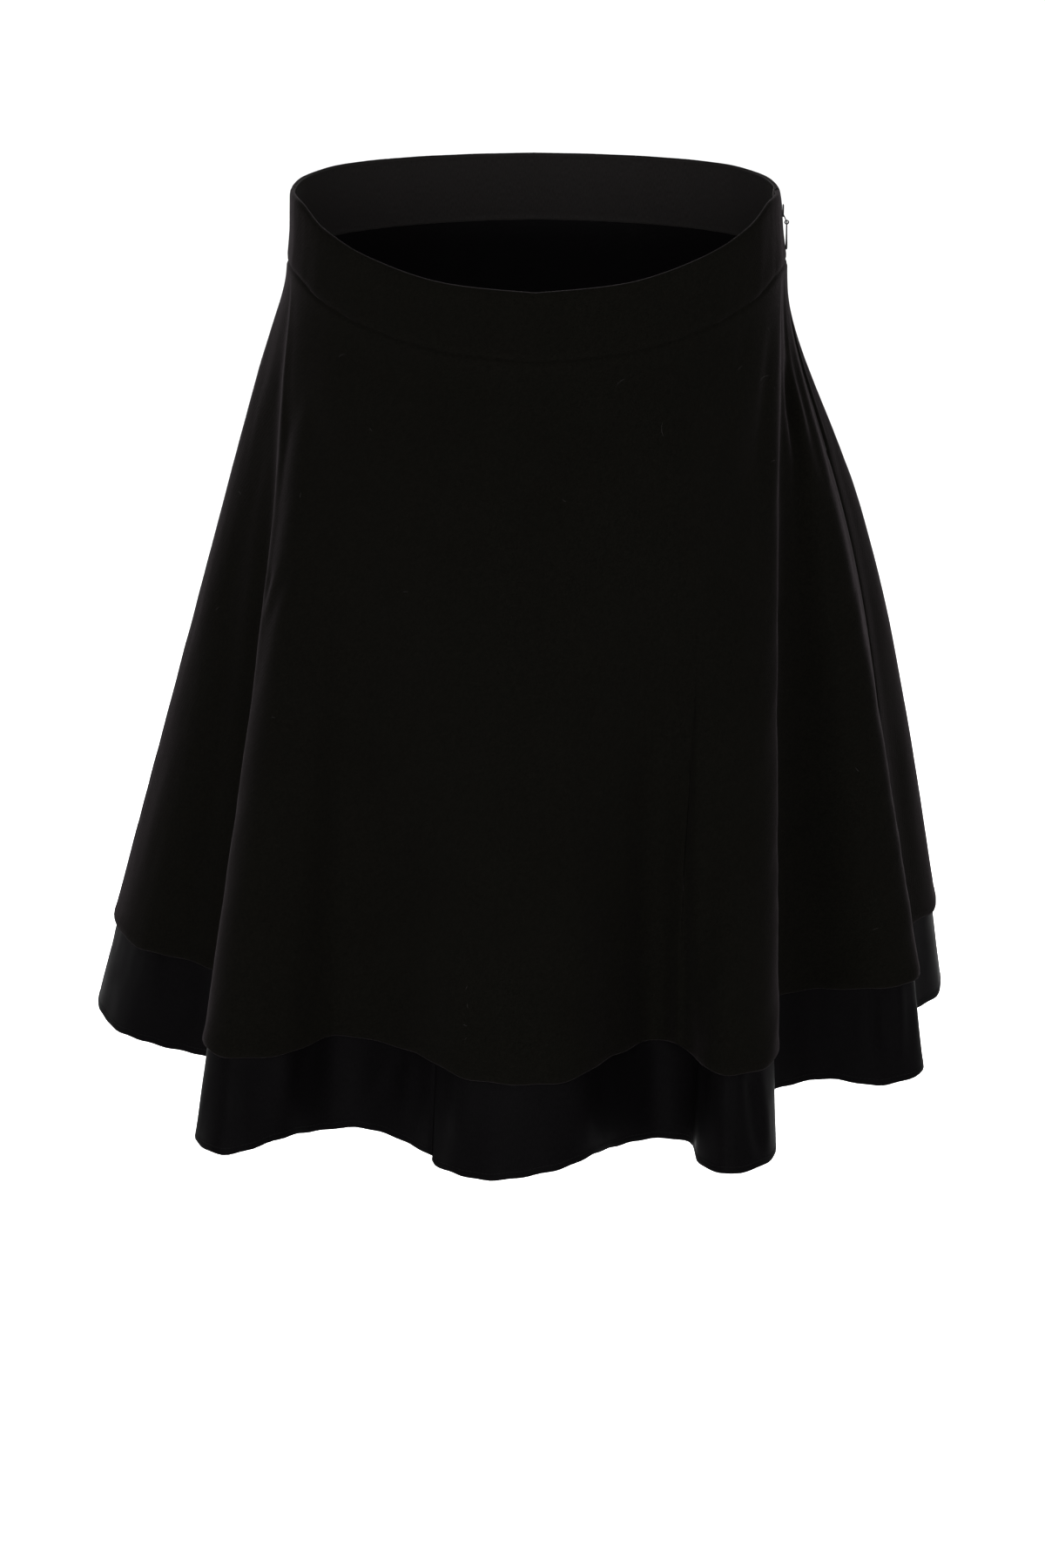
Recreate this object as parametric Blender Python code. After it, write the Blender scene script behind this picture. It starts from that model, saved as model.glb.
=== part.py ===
"""Knee-length flared skirt in its worn form: a contoured waistband, an outer layer of wool in two
flared panels, a longer satin layer under it, and a concealed zip with a hanging pull in the side
seam. Metres, Z up, the front faces -Y, the origin is the middle of the tilted waist opening."""
import math

import bmesh
import bpy
import numpy as np
from mathutils import Vector

# Waistband plan at the rim, the middle and the seam below: half width, half depth, sideways shift.
RIM_HALF_WIDTH, RIM_HALF_DEPTH, RIM_SHIFT = 0.1465, 0.1100, -0.0015
MID_HALF_WIDTH, MID_HALF_DEPTH, MID_SHIFT = 0.1470, 0.1135, -0.0010
SEAM_HALF_WIDTH, SEAM_HALF_DEPTH, SEAM_SHIFT = 0.1495, 0.1180, -0.0005
BAND_THICK = 0.0030
BAND_COLUMNS = 34
BAND_ROWS = (0.0, 0.35, 0.7, 1.0)

# Height of the band's rim and of the seam under it, by angle from the middle of the front.
BAND_COLUMNS_NAMES = ("angle", "rim", "seam")
BAND_HEIGHTS = (
    (0.0, -0.0245, -0.0633),
    (20.0, -0.0205, -0.0590),
    (40.0, -0.0095, -0.0490),
    (60.0, 0.0055, -0.0358),
    (75.0, 0.0180, -0.0248),
    (90.0, 0.0205, -0.0215),
    (105.0, 0.0238, -0.0190),
    (130.0, 0.0270, -0.0155),
    (180.0, 0.0280, -0.0135),
)

# Cloth walls, and how far the satin hangs inside the wool's outer face.
WOOL_THICK = 0.0016
SATIN_THICK = 0.0010
SEAM_GAP = 0.0003
SATIN_INSET_TOP = WOOL_THICK + SEAM_GAP
SATIN_INSET = 0.0032
SATIN_INSET_FROM = 0.10
SATIN_INSET_HEM = 0.0010

# The wool's hem lies on a tilted plane; the satin runs on below it.
HEM_HEIGHT_AT_SIDES = -0.433
HEM_RISE_FRONT = 0.12
HEM_RISE_BACK = 0.06
SATIN_DROP = 0.0548
SATIN_SWING = 0.6
SATIN_SWING_LEAN = 0.8
WOOL_LENGTH = 0.411
LAP_DROP = 0.0045

# Folds, one row each, from the left side round the front, the right side and the back: where the
# fold leaves the waist seam (degrees), where it stands at the hem, how late the cloth swings out
# there, the share of the length above which the fold has not begun, how soon it leaves the hip, and
# how much lower than even the satin's hem hangs there.
FOLD_COLUMNS = ("fold", "waist_deg", "hem_x", "hem_y", "late", "begins", "leaves", "satin_low")
FOLDS = (
    ("left_tip", -93.0, -0.2625, 0.0040, 0.96, 0.00, 24, 0.0010),
    ("left_face", -86.0, -0.2430, -0.0440, 1.00, 0.00, 24, 0.0000),
    ("left_turn", -80.0, -0.2060, -0.0680, 1.00, 0.00, 24, 0.0000),
    ("left_valley", -76.5, -0.1740, -0.0980, 1.00, 0.05, 24, 0.0000),
    ("left_edge", -73.0, -0.1965, -0.1800, 1.00, 0.20, 24, -0.0016),
    ("left_crest", -63.0, -0.1800, -0.2045, 0.95, 0.15, 24, -0.0019),
    ("left_shoulder", -51.0, -0.1500, -0.1990, 0.95, 0.20, 24, -0.0058),
    ("soft_valley", -39.0, -0.1170, -0.1740, 0.95, 0.25, 24, 0.0006),
    ("soft_rise", -29.0, -0.0860, -0.1850, 0.95, 0.25, 24, 0.0008),
    ("satin_lap", -20.5, -0.0622, -0.2096, 0.95, 0.25, 24, 0.0024),
    ("middle_shoulder", -14.5, -0.0450, -0.2290, 0.95, 0.22, 24, 0.0000),
    ("middle_crest", -5.0, -0.0150, -0.2410, 0.95, 0.20, 24, -0.0027),
    ("middle_turn", 6.0, 0.0210, -0.2320, 0.95, 0.22, 24, -0.0068),
    ("valley_in", 17.0, 0.0470, -0.1980, 0.95, 0.22, 24, 0.0000),
    ("deep_valley", 27.0, 0.0710, -0.1790, 0.95, 0.20, 24, 0.0059),
    ("valley_out", 36.0, 0.0885, -0.1870, 0.95, 0.30, 24, 0.0035),
    ("lobe_edge", 43.0, 0.0925, -0.2110, 0.95, 0.35, 24, 0.0040),
    ("lobe_crest", 54.0, 0.1100, -0.2285, 0.95, 0.30, 24, 0.0000),
    ("lobe_turn", 65.0, 0.1300, -0.2190, 0.95, 0.20, 24, 0.0000),
    ("right_edge", 73.0, 0.1405, -0.1960, 0.95, 0.12, 24, 0.0000),
    ("right_valley", 77.5, 0.1360, -0.1300, 1.00, 0.00, 24, 0.0000),
    ("side_turn", 80.5, 0.1640, -0.1050, 1.00, 0.00, 12, 0.0000),
    ("side_face", 83.0, 0.2040, -0.1060, 0.95, 0.00, 9, 0.0027),
    ("side_crest", 86.0, 0.2300, -0.0880, 0.82, 0.00, 7, 0.0030),
    ("side_seam", 90.0, 0.2240, -0.0260, 0.62, 0.00, 6, 0.0000),
    ("rear_tip", 96.0, 0.2485, 0.0220, 0.56, 0.00, 6, 0.0000),
    ("rear_face", 104.0, 0.2440, 0.0740, 0.70, 0.00, 8, 0.0000),
    ("rear_valley", 111.0, 0.2070, 0.1060, 1.00, 0.00, 12, 0.0000),
    ("rear_rise", 118.0, 0.2040, 0.1520, 0.95, 0.05, 24, 0.0000),
    ("rear_crest", 127.0, 0.1730, 0.1880, 0.95, 0.10, 24, 0.0000),
    ("back_turn", 138.0, 0.1330, 0.1830, 0.95, 0.15, 24, 0.0000),
    ("back_valley", 147.0, 0.1050, 0.1760, 0.95, 0.15, 24, 0.0000),
    ("back_rise", 156.0, 0.0780, 0.2080, 0.95, 0.15, 24, 0.0000),
    ("back_crest", 167.0, 0.0440, 0.2300, 0.95, 0.15, 24, 0.0000),
    ("back_shoulder", 178.0, 0.0070, 0.2180, 0.95, 0.20, 24, 0.0000),
    ("tail_valley", 189.0, -0.0260, 0.1900, 0.95, 0.20, 24, 0.0000),
    ("tail_rise", 199.0, -0.0590, 0.2060, 0.95, 0.20, 24, 0.0000),
    ("tail_crest", 209.0, -0.0930, 0.2280, 0.95, 0.15, 24, 0.0000),
    ("tail_turn", 220.0, -0.1290, 0.2080, 0.95, 0.15, 24, 0.0000),
    ("nook_valley", 229.0, -0.1480, 0.1660, 0.95, 0.10, 24, 0.0000),
    ("nook_rise", 237.0, -0.1810, 0.1560, 0.95, 0.05, 24, 0.0000),
    ("nook_crest", 245.0, -0.2150, 0.1420, 0.95, 0.00, 24, 0.0000),
    ("last_valley", 253.0, -0.2190, 0.0900, 0.95, 0.00, 24, 0.0000),
    ("last_rise", 260.0, -0.2520, 0.0560, 0.95, 0.00, 24, 0.0000),
)
# The even oval the hem would hang on without folds, and how quickly a fold deepens.
OVAL_HALF_WIDTH, OVAL_HALF_DEPTH = 0.2350, 0.2150
FOLD_POWER = 1.15
COLUMN_PITCH = 0.022
COLUMN_TURN = 0.42
WOOL_ROWS = (0.0, 0.06, 0.15, 0.28, 0.30, 0.42, 0.56, 0.70, 0.85, 1.0)
SATIN_ROWS = (0.0, 0.06, 0.15, 0.28, 0.42, 0.56, 0.70, 0.85, 1.0)

# Zip in the right side seam: the chain of closed coils, its slider and the pull that hangs from it.
ZIP_SLOT = 0.0030
ZIP_ROW_END = 0.28
CHAIN_WIDTH = 0.0024
CHAIN_THICK = 0.0012
CHAIN_SUNK = 0.0004
CHAIN_TOP_SHORT = 0.0030
PIVOT_OUT = 0.0031
PIVOT_UP = 0.0003
PIN_RADIUS = 0.00035
EYE_HOLE = 0.00070
EYE_RADIUS = 0.0015
EYE_HALF_WIDTH = 0.0008
ARM_INNER, ARM_OUTER = 0.00115, 0.00185
ARM_HALF_DEPTH = 0.0005
PIN_REACH = 0.0003
SLIDER_LOW, SLIDER_HIGH = 0.0038, 0.0112
SLIDER_BACK, SLIDER_FRONT = 0.0005, 0.0014
SLIDER_HALF_WIDTH = 0.0022
SLIDER_BEVEL = 0.0007
STEM_BACK, STEM_FRONT = -0.00005, 0.0007
STEM_HALF_WIDTH = 0.0011
STEM_SHORT = 0.0010

# Pull tab: distance below the pivot, half width along the seam's side, half thickness.
TAB_COLUMNS = ("below", "half_width", "half_thick")
TAB_SECTIONS = (
    (0.0010, 0.0007, 0.00045),
    (0.0040, 0.0009, 0.00045),
    (0.0090, 0.0013, 0.00055),
    (0.0135, 0.0017, 0.00070),
    (0.0155, 0.0016, 0.00070),
    (0.0164, 0.0010, 0.00050),
)


def column(table, names, name):
    """One named column of a table as an array."""
    return np.array([row[names.index(name)] for row in table], float)


def smooth(x, y, at):
    """Monotone cubic through (x, y), read at the given places."""
    at = np.asarray(at, float)
    step = np.diff(x)
    slope = np.diff(y) / step
    tangent = np.zeros(len(x))
    tangent[0], tangent[-1] = slope[0], slope[-1]
    same = slope[:-1] * slope[1:] > 0
    mean = 2 * slope[:-1] * slope[1:] / np.where(same, slope[:-1] + slope[1:], 1.0)
    tangent[1:-1] = np.where(same, mean, 0.0)
    i = np.clip(np.searchsorted(x, at, side="right") - 1, 0, len(step) - 1)
    t = (at - x[i]) / step[i]
    return (
        (1 + 2 * t) * (1 - t) ** 2 * y[i]
        + t * (1 - t) ** 2 * step[i] * tangent[i]
        + t * t * (3 - 2 * t) * y[i + 1]
        - t * t * (1 - t) * step[i] * tangent[i + 1]
    )


def band_height(theta, name):
    """Rim or seam height at an angle round the waist, the same on both sides."""
    deg = np.abs((np.degrees(theta) + 180.0) % 360.0 - 180.0)
    angles = column(BAND_HEIGHTS, BAND_COLUMNS_NAMES, "angle")
    return smooth(angles, column(BAND_HEIGHTS, BAND_COLUMNS_NAMES, name), deg)


class Folds:
    """The cloth's outer face as a function of a place round the hem and a share of the way down."""

    def __init__(self):
        hem = np.stack([column(FOLDS, FOLD_COLUMNS, "hem_x"), column(FOLDS, FOLD_COLUMNS, "hem_y")], 1)
        chord = np.linalg.norm(np.roll(hem, -1, 0) - hem, axis=1)
        self.chord = chord
        self.hem = hem
        self.knot = np.concatenate([[0.0], np.cumsum(np.sqrt(chord))])
        self.period = self.knot[-1]
        self.waist = np.radians(column(FOLDS, FOLD_COLUMNS, "waist_deg"))
        self.late = column(FOLDS, FOLD_COLUMNS, "late")
        self.begins = column(FOLDS, FOLD_COLUMNS, "begins")
        self.leaves = column(FOLDS, FOLD_COLUMNS, "leaves")
        self.satin_low = column(FOLDS, FOLD_COLUMNS, "satin_low")
        self.names = [row[0] for row in FOLDS]

    def place(self, name):
        """Where a named fold lies round the hem."""
        return self.knot[self.names.index(name)]

    def around(self, values, u, turn=0.0):
        """A closed run of values read at places round the hem; turn is what one lap adds."""
        x = np.concatenate([self.knot[:-1] + lap * self.period for lap in (-1, 0, 1, 2)])
        y = np.concatenate([values + lap * turn for lap in (-1, 0, 1, 2)])
        return smooth(x, y, u)

    def hem_at(self, u):
        """Closed centripetal curve through the folds' places at the hem."""
        n = len(self.hem)
        wrapped = np.mod(u, self.period)
        i = np.clip(np.searchsorted(self.knot, wrapped, side="right") - 1, 0, n - 1)
        k = [(i + j) % n for j in (-1, 0, 1, 2)]
        p0, p1, p2, p3 = (self.hem[j] for j in k)
        d01 = np.sqrt(self.chord[k[0]])[:, None]
        d12 = np.sqrt(self.chord[k[1]])[:, None]
        d23 = np.sqrt(self.chord[k[2]])[:, None]
        m1 = d12 * ((p1 - p0) / d01 - (p2 - p0) / (d01 + d12) + (p2 - p1) / d12)
        m2 = d12 * ((p2 - p1) / d12 - (p3 - p1) / (d12 + d23) + (p3 - p2) / d23)
        t = ((wrapped - self.knot[i]) / (self.knot[i + 1] - self.knot[i]))[:, None]
        return (
            (1 + 2 * t) * (1 - t) ** 2 * p1
            + t * (1 - t) ** 2 * m1
            + t * t * (3 - 2 * t) * p2
            - t * t * (1 - t) * m2
        )

    def face(self, u, s):
        """Points of the outer face for arrays of places u at one share s of the length."""
        theta = self.around(self.waist, u, 2 * math.pi)
        hem = self.hem_at(u)
        top_x = SEAM_SHIFT + SEAM_HALF_WIDTH * np.sin(theta)
        top_y = -SEAM_HALF_DEPTH * np.cos(theta)
        top_z = band_height(theta, "seam") - SEAM_GAP
        rise = np.where(hem[:, 1] < 0, HEM_RISE_FRONT, HEM_RISE_BACK)
        low_z = HEM_HEIGHT_AT_SIDES + rise * hem[:, 1]
        across, ahead = hem[:, 0] / OVAL_HALF_WIDTH, hem[:, 1] / OVAL_HALF_DEPTH
        size = np.hypot(across, ahead)
        oval_x, oval_y = hem[:, 0] / size, hem[:, 1] / size
        within = min(s, 1.0)
        beyond = (SATIN_SWING - SATIN_SWING_LEAN * hem[:, 0]) * (s - within)
        left_hip = (1 - (1 - within) ** self.around(self.leaves, u)) ** 2
        swing = left_hip * within ** self.around(self.late, u) + beyond
        begins = self.around(self.begins, u)
        fold = np.clip((within - begins) / (1 - begins), 0, 1) ** FOLD_POWER + beyond
        x = top_x + (oval_x - top_x) * swing + (hem[:, 0] - oval_x) * fold
        y = top_y + (oval_y - top_y) * swing + (hem[:, 1] - oval_y) * fold
        lower = self.around(self.satin_low, u) * min(1.0, (s - within) * WOOL_LENGTH / SATIN_DROP)
        z = top_z + (low_z - top_z) * s - lower
        return np.stack([x, y, z], 1)

    def outward(self, u, s):
        """Unit normals of the outer face, away from the body."""
        du, ds = 1e-4, 1e-4
        low = max(s - ds, 0.0)
        along = self.face(u + du, s) - self.face(u - du, s)
        down = self.face(u, s + ds) - self.face(u, low)
        normal = np.cross(down, along)
        return normal / np.linalg.norm(normal, axis=1, keepdims=True)

    def shift(self, u, s, distance):
        """How far u moves for a small distance along the cloth."""
        step = self.face(np.array([u + 1e-4]), s) - self.face(np.array([u - 1e-4]), s)
        return distance / (np.linalg.norm(step) / 2e-4)

    def columns(self, first, last):
        """Places from one fold to another, closer together where the hem turns sharply."""
        start, end = self.place(first), self.place(last)
        if end <= start:
            end += self.period
        dense = np.linspace(start, end, 3000)
        step = np.diff(self.hem_at(dense), axis=0)
        length = np.linalg.norm(step, axis=1)
        heading = np.unwrap(np.arctan2(step[:, 1], step[:, 0]))
        turn = np.abs(np.gradient(heading))
        weight = np.concatenate([[0.0], np.cumsum(np.hypot(length / COLUMN_PITCH, turn / COLUMN_TURN))])
        count = max(4, int(round(weight[-1])))
        return np.interp(np.linspace(0, weight[-1], count + 1), weight, dense)


def material(name, colour, roughness, metallic=0.0):
    """Own surface for a piece."""
    mat = bpy.data.materials.new(name)
    mat.use_nodes = True
    shader = mat.node_tree.nodes["Principled BSDF"]
    shader.inputs["Base Color"].default_value = (*colour, 1.0)
    shader.inputs["Roughness"].default_value = roughness
    shader.inputs["Metallic"].default_value = metallic
    return mat


def add_object(name, vertices, faces, mat):
    """Closed mesh object with its faces turned outward."""
    mesh = bpy.data.meshes.new(name)
    mesh.from_pydata([tuple(v) for v in vertices], [], faces)
    work = bmesh.new()
    work.from_mesh(mesh)
    bmesh.ops.recalc_face_normals(work, faces=work.faces)
    work.to_mesh(mesh)
    work.free()
    mesh.materials.append(mat)
    item = bpy.data.objects.new(name, mesh)
    bpy.context.scene.collection.objects.link(item)
    return item


def wall(name, outer, inner, mat):
    """Closed wall between an outer and an inner grid of points, rows by columns."""
    rows, cols = outer.shape[:2]
    vertices = np.concatenate([outer.reshape(-1, 3), inner.reshape(-1, 3)])
    back = rows * cols

    def at(r, c, side):
        return side * back + r * cols + c

    faces = []
    for r in range(rows - 1):
        for c in range(cols - 1):
            faces.append((at(r, c, 0), at(r, c + 1, 0), at(r + 1, c + 1, 0), at(r + 1, c, 0)))
            faces.append((at(r, c, 1), at(r + 1, c, 1), at(r + 1, c + 1, 1), at(r, c + 1, 1)))
    for c in range(cols - 1):
        faces.append((at(0, c, 0), at(0, c, 1), at(0, c + 1, 1), at(0, c + 1, 0)))
        end = rows - 1
        faces.append((at(end, c, 0), at(end, c + 1, 0), at(end, c + 1, 1), at(end, c, 1)))
    for r in range(rows - 1):
        faces.append((at(r, 0, 0), at(r + 1, 0, 0), at(r + 1, 0, 1), at(r, 0, 1)))
        end = cols - 1
        faces.append((at(r, end, 0), at(r, end, 1), at(r + 1, end, 1), at(r + 1, end, 0)))
    return add_object(name, vertices, faces, mat)


def band_plan(theta, share):
    """Outer face of the waistband at a share of the way from rim to seam."""
    where = np.array([0.0, 0.5, 1.0])
    half_w = smooth(where, np.array([RIM_HALF_WIDTH, MID_HALF_WIDTH, SEAM_HALF_WIDTH]), share)
    half_d = smooth(where, np.array([RIM_HALF_DEPTH, MID_HALF_DEPTH, SEAM_HALF_DEPTH]), share)
    shift = smooth(where, np.array([RIM_SHIFT, MID_SHIFT, SEAM_SHIFT]), share)
    rim, seam = band_height(theta, "rim"), band_height(theta, "seam")
    z = rim + (seam - rim) * share
    return np.stack([shift + half_w * np.sin(theta), -half_d * np.cos(theta), z + 0 * theta], -1)


def band_outward(theta, share):
    """Unit normals of the waistband's outer face."""
    low, high = max(share - 0.02, 0.0), min(share + 0.02, 1.0)
    along = band_plan(theta + 1e-4, share) - band_plan(theta - 1e-4, share)
    down = band_plan(theta, high) - band_plan(theta, low)
    normal = np.cross(down, along)
    return normal / np.linalg.norm(normal, axis=-1, keepdims=True)


def build_band(name, start, end, start_gap, end_gap, mat):
    """Half of the waistband between two angles, short of each by half a gap."""
    theta = np.linspace(start, end, BAND_COLUMNS + 1)
    theta[0] += start_gap / 2 / SEAM_HALF_DEPTH
    theta[-1] -= end_gap / 2 / SEAM_HALF_DEPTH
    outer, inner = [], []
    for share in BAND_ROWS:
        points = band_plan(theta, share)
        outer.append(points)
        inner.append(points - BAND_THICK * band_outward(theta, share))
    outer, inner = np.array(outer), np.array(inner)
    inner[0, :, 2] = outer[0, :, 2]
    inner[-1, :, 2] = outer[-1, :, 2]
    return wall(name, outer, inner, mat)


def panel_grids(folds, places, rows, insets, thick, start_gap, end_gap):
    """Outer and inner grids of a cloth panel; the gaps at its two edges may change down the rows."""
    outer, inner = [], []
    for s in rows:
        u = places.copy()
        u[0] += folds.shift(places[0], s, start_gap(s) / 2)
        u[-1] -= folds.shift(places[-1], s, end_gap(s) / 2)
        points, normal = folds.face(u, s), folds.outward(u, s)
        outer.append(points - insets(s) * normal)
        inner.append(points - (insets(s) + thick) * normal)
    outer, inner = np.array(outer), np.array(inner)
    top = folds.face(places, rows[0])[:, 2]
    outer[0, :, 2] = top
    inner[0, :, 2] = top
    return outer, inner


def plain_gap(s):
    """A sewn seam."""
    return SEAM_GAP


def zip_gap(s):
    """The side seam: open for the zip above, sewn below it."""
    return ZIP_SLOT if s <= ZIP_ROW_END else SEAM_GAP


def no_inset(s):
    """The wool is the outer face itself."""
    return 0.0


def satin_inset(s):
    """The satin hangs close to the wool at the waist seam, further in below, and free at its hem."""
    share = min(1.0, s / SATIN_INSET_FROM)
    free = min(1.0, max(0.0, (s - 1.0) * WOOL_LENGTH / SATIN_DROP))
    hung = SATIN_INSET_TOP + (SATIN_INSET - SATIN_INSET_TOP) * share
    return hung + (SATIN_INSET_HEM - SATIN_INSET) * free


def build_wool(folds, mat):
    """Front and back panels of the outer layer."""
    left = folds.columns("left_tip", "satin_lap")
    right = folds.columns("satin_lap", "side_seam")
    front = np.concatenate([left, right[1:]])
    back = folds.columns("side_seam", "left_tip")
    outer, inner = panel_grids(folds, front, WOOL_ROWS, no_inset, WOOL_THICK, plain_gap, zip_gap)
    wall("front_panel", outer, inner, mat)
    outer, inner = panel_grids(folds, back, WOOL_ROWS, no_inset, WOOL_THICK, zip_gap, plain_gap)
    wall("back_panel", outer, inner, mat)


def build_satin(folds, mat):
    """The longer layer below: two front pieces that meet at the lap, and one back piece."""
    end = 1 + SATIN_DROP / WOOL_LENGTH
    lap_end = end + LAP_DROP / WOOL_LENGTH
    pieces = (
        ("underskirt_front_left", "left_tip", "satin_lap", end),
        ("underskirt_front_right", "satin_lap", "side_seam", lap_end),
        ("underskirt_back", "side_seam", "left_tip", end),
    )
    for name, first, last, lowest in pieces:
        places = folds.columns(first, last)
        rows = SATIN_ROWS + (lowest,)
        grids = panel_grids(folds, places, rows, satin_inset, SATIN_THICK, plain_gap, plain_gap)
        if name == "underskirt_front_right":
            ease_hem(grids, end, lap_end)
        wall(name, grids[0], grids[1], mat)


def ease_hem(grids, end, lap_end):
    """Let the lap's extra drop fade away from its edge towards the side."""
    cols = grids[0].shape[1]
    fade = np.clip(np.arange(cols) / (0.45 * cols), 0, 1)
    keep = (fade * fade * (3 - 2 * fade))[:, None]
    for grid in grids:
        share = (end - 1) / (lap_end - 1)
        short = grid[-2] + (grid[-1] - grid[-2]) * share
        grid[-1] = grid[-1] * (1 - keep) + short * keep


def zip_frame(folds):
    """The zip's angle round the waist, its outward direction and the direction along the band."""
    theta = folds.waist[folds.names.index("side_seam")]
    out = Vector(band_outward(np.array([theta]), 0.5)[0])
    out.z = 0.0
    out.normalize()
    along = Vector((0.0, 0.0, 1.0)).cross(out)
    return theta, out, along


def build_chain(folds, mat):
    """The closed coils as one narrow strip in the slot of the side seam."""
    theta = zip_frame(folds)[0]
    outer, inner = [], []
    band_low = band_height(np.array([theta]), "rim")[0] - band_height(np.array([theta]), "seam")[0]
    first_share = CHAIN_TOP_SHORT / band_low
    for share in (first_share,) + BAND_ROWS[1:]:
        half = CHAIN_WIDTH / 2 / SEAM_HALF_DEPTH
        angles = np.array([theta - half, theta + half])
        points, normal = band_plan(angles, share), band_outward(angles, share)
        outer.append(points - CHAIN_SUNK * normal)
        inner.append(points - (CHAIN_SUNK + CHAIN_THICK) * normal)
    middle = folds.place("side_seam")
    for s in [row for row in WOOL_ROWS if 0 < row <= ZIP_ROW_END]:
        half = folds.shift(middle, s, CHAIN_WIDTH / 2)
        u = np.array([middle - half, middle + half])
        points, normal = folds.face(u, s), folds.outward(u, s)
        outer.append(points - CHAIN_SUNK * normal)
        inner.append(points - (CHAIN_SUNK + CHAIN_THICK) * normal)
    wall("zip_chain", np.array(outer), np.array(inner), mat)


def prism(name, outline, low, high, origin, axes, mat):
    """Outline in the plane of the first two axes, drawn out along the third."""
    vertices = []
    for depth in (low, high):
        for a, b in outline:
            vertices.append(origin + a * axes[0] + b * axes[1] + depth * axes[2])
    n = len(outline)
    faces = [tuple(range(n)), tuple(range(2 * n - 1, n - 1, -1))]
    for k in range(n):
        faces.append((k, (k + 1) % n, n + (k + 1) % n, n + k))
    return add_object(name, vertices, faces, mat)


def circle(centre, radius, count):
    """Outline of a round."""
    return [
        (centre[0] + radius * math.cos(2 * math.pi * k / count),
         centre[1] + radius * math.sin(2 * math.pi * k / count))
        for k in range(count)
    ]


def combine(target, other, operation):
    """Exact join or cut of two solids, applied at once."""
    modifier = target.modifiers.new("combine", "BOOLEAN")
    modifier.operation = operation
    modifier.solver = "EXACT"
    modifier.object = other
    graph = bpy.context.evaluated_depsgraph_get()
    mesh = bpy.data.meshes.new_from_object(target.evaluated_get(graph))
    target.modifiers.clear()
    target.data = mesh
    bpy.data.objects.remove(other)
    return target


def zip_origin(folds):
    """Point of the band's outer face at the pivot's height."""
    theta, out, along = zip_frame(folds)
    rim = band_height(np.array([theta]), "rim")[0]
    seam = band_height(np.array([theta]), "seam")[0]
    share = (rim - PIVOT_UP) / (rim - seam)
    return Vector(band_plan(np.array([theta]), share)[0]), out, along


def build_slider(folds, mat):
    """Slider on the chain, with two arms and the pin that carries the pull."""
    origin, out, along = zip_origin(folds)
    axes = (out, Vector((0.0, 0.0, 1.0)), along)
    high, low = SLIDER_HIGH - PIVOT_UP, SLIDER_LOW - PIVOT_UP
    plate = [
        (SLIDER_BACK, low),
        (SLIDER_FRONT, low + SLIDER_BEVEL),
        (SLIDER_FRONT, high - SLIDER_BEVEL),
        (SLIDER_BACK, high),
    ]
    body = prism("zip_slider", plate, -SLIDER_HALF_WIDTH, SLIDER_HALF_WIDTH, origin, axes, mat)
    stem = [
        (STEM_BACK, low + STEM_SHORT),
        (STEM_FRONT, low + STEM_SHORT),
        (STEM_FRONT, high - STEM_SHORT),
        (STEM_BACK, high - STEM_SHORT),
    ]
    combine(body, prism("stem", stem, -STEM_HALF_WIDTH, STEM_HALF_WIDTH, origin, axes, mat), "UNION")
    arm = [
        (SLIDER_BACK, low + ARM_HALF_DEPTH),
        (SLIDER_FRONT, low + 4 * ARM_HALF_DEPTH),
        (PIVOT_OUT + ARM_HALF_DEPTH, ARM_HALF_DEPTH),
        (PIVOT_OUT + ARM_HALF_DEPTH, -ARM_HALF_DEPTH),
        (PIVOT_OUT - ARM_HALF_DEPTH, -ARM_HALF_DEPTH),
    ]
    for side in (-1, 1):
        ends = sorted((side * ARM_INNER, side * ARM_OUTER))
        combine(body, prism("arm", arm, ends[0], ends[1], origin, axes, mat), "UNION")
    pin = circle((PIVOT_OUT, 0.0), PIN_RADIUS, 12)
    reach = ARM_INNER + PIN_REACH
    combine(body, prism("pin", pin, -reach, reach, origin, axes, mat), "UNION")
    return body


def build_pull(folds, mat):
    """Teardrop tab with the eye that turns on the pin."""
    origin, out, along = zip_origin(folds)
    centre = origin + PIVOT_OUT * out
    up = Vector((0.0, 0.0, 1.0))
    sides = 12
    vertices, faces = [], []
    for below, half_width, half_thick in TAB_SECTIONS:
        for k in range(sides):
            angle = 2 * math.pi * k / sides
            across = half_width * math.cos(angle)
            ahead = half_thick * math.sin(angle)
            vertices.append(centre - below * up + across * along + ahead * out)
    rings = len(TAB_SECTIONS)
    faces.append(tuple(range(sides)))
    faces.append(tuple(range(rings * sides - 1, (rings - 1) * sides - 1, -1)))
    for r in range(rings - 1):
        for k in range(sides):
            a, b = r * sides + k, r * sides + (k + 1) % sides
            faces.append((a, b, b + sides, a + sides))
    tab = add_object("zip_pull", vertices, faces, mat)
    axes = (out, up, along)
    ring = prism("ring", circle((0, 0), EYE_RADIUS, 20), -EYE_HALF_WIDTH, EYE_HALF_WIDTH, centre, axes, mat)
    combine(tab, ring, "UNION")
    through = 2 * EYE_HALF_WIDTH
    hole = prism("hole", circle((0, 0), EYE_HOLE, 16), -through, through, centre, axes, mat)
    combine(tab, hole, "DIFFERENCE")
    return tab


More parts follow.
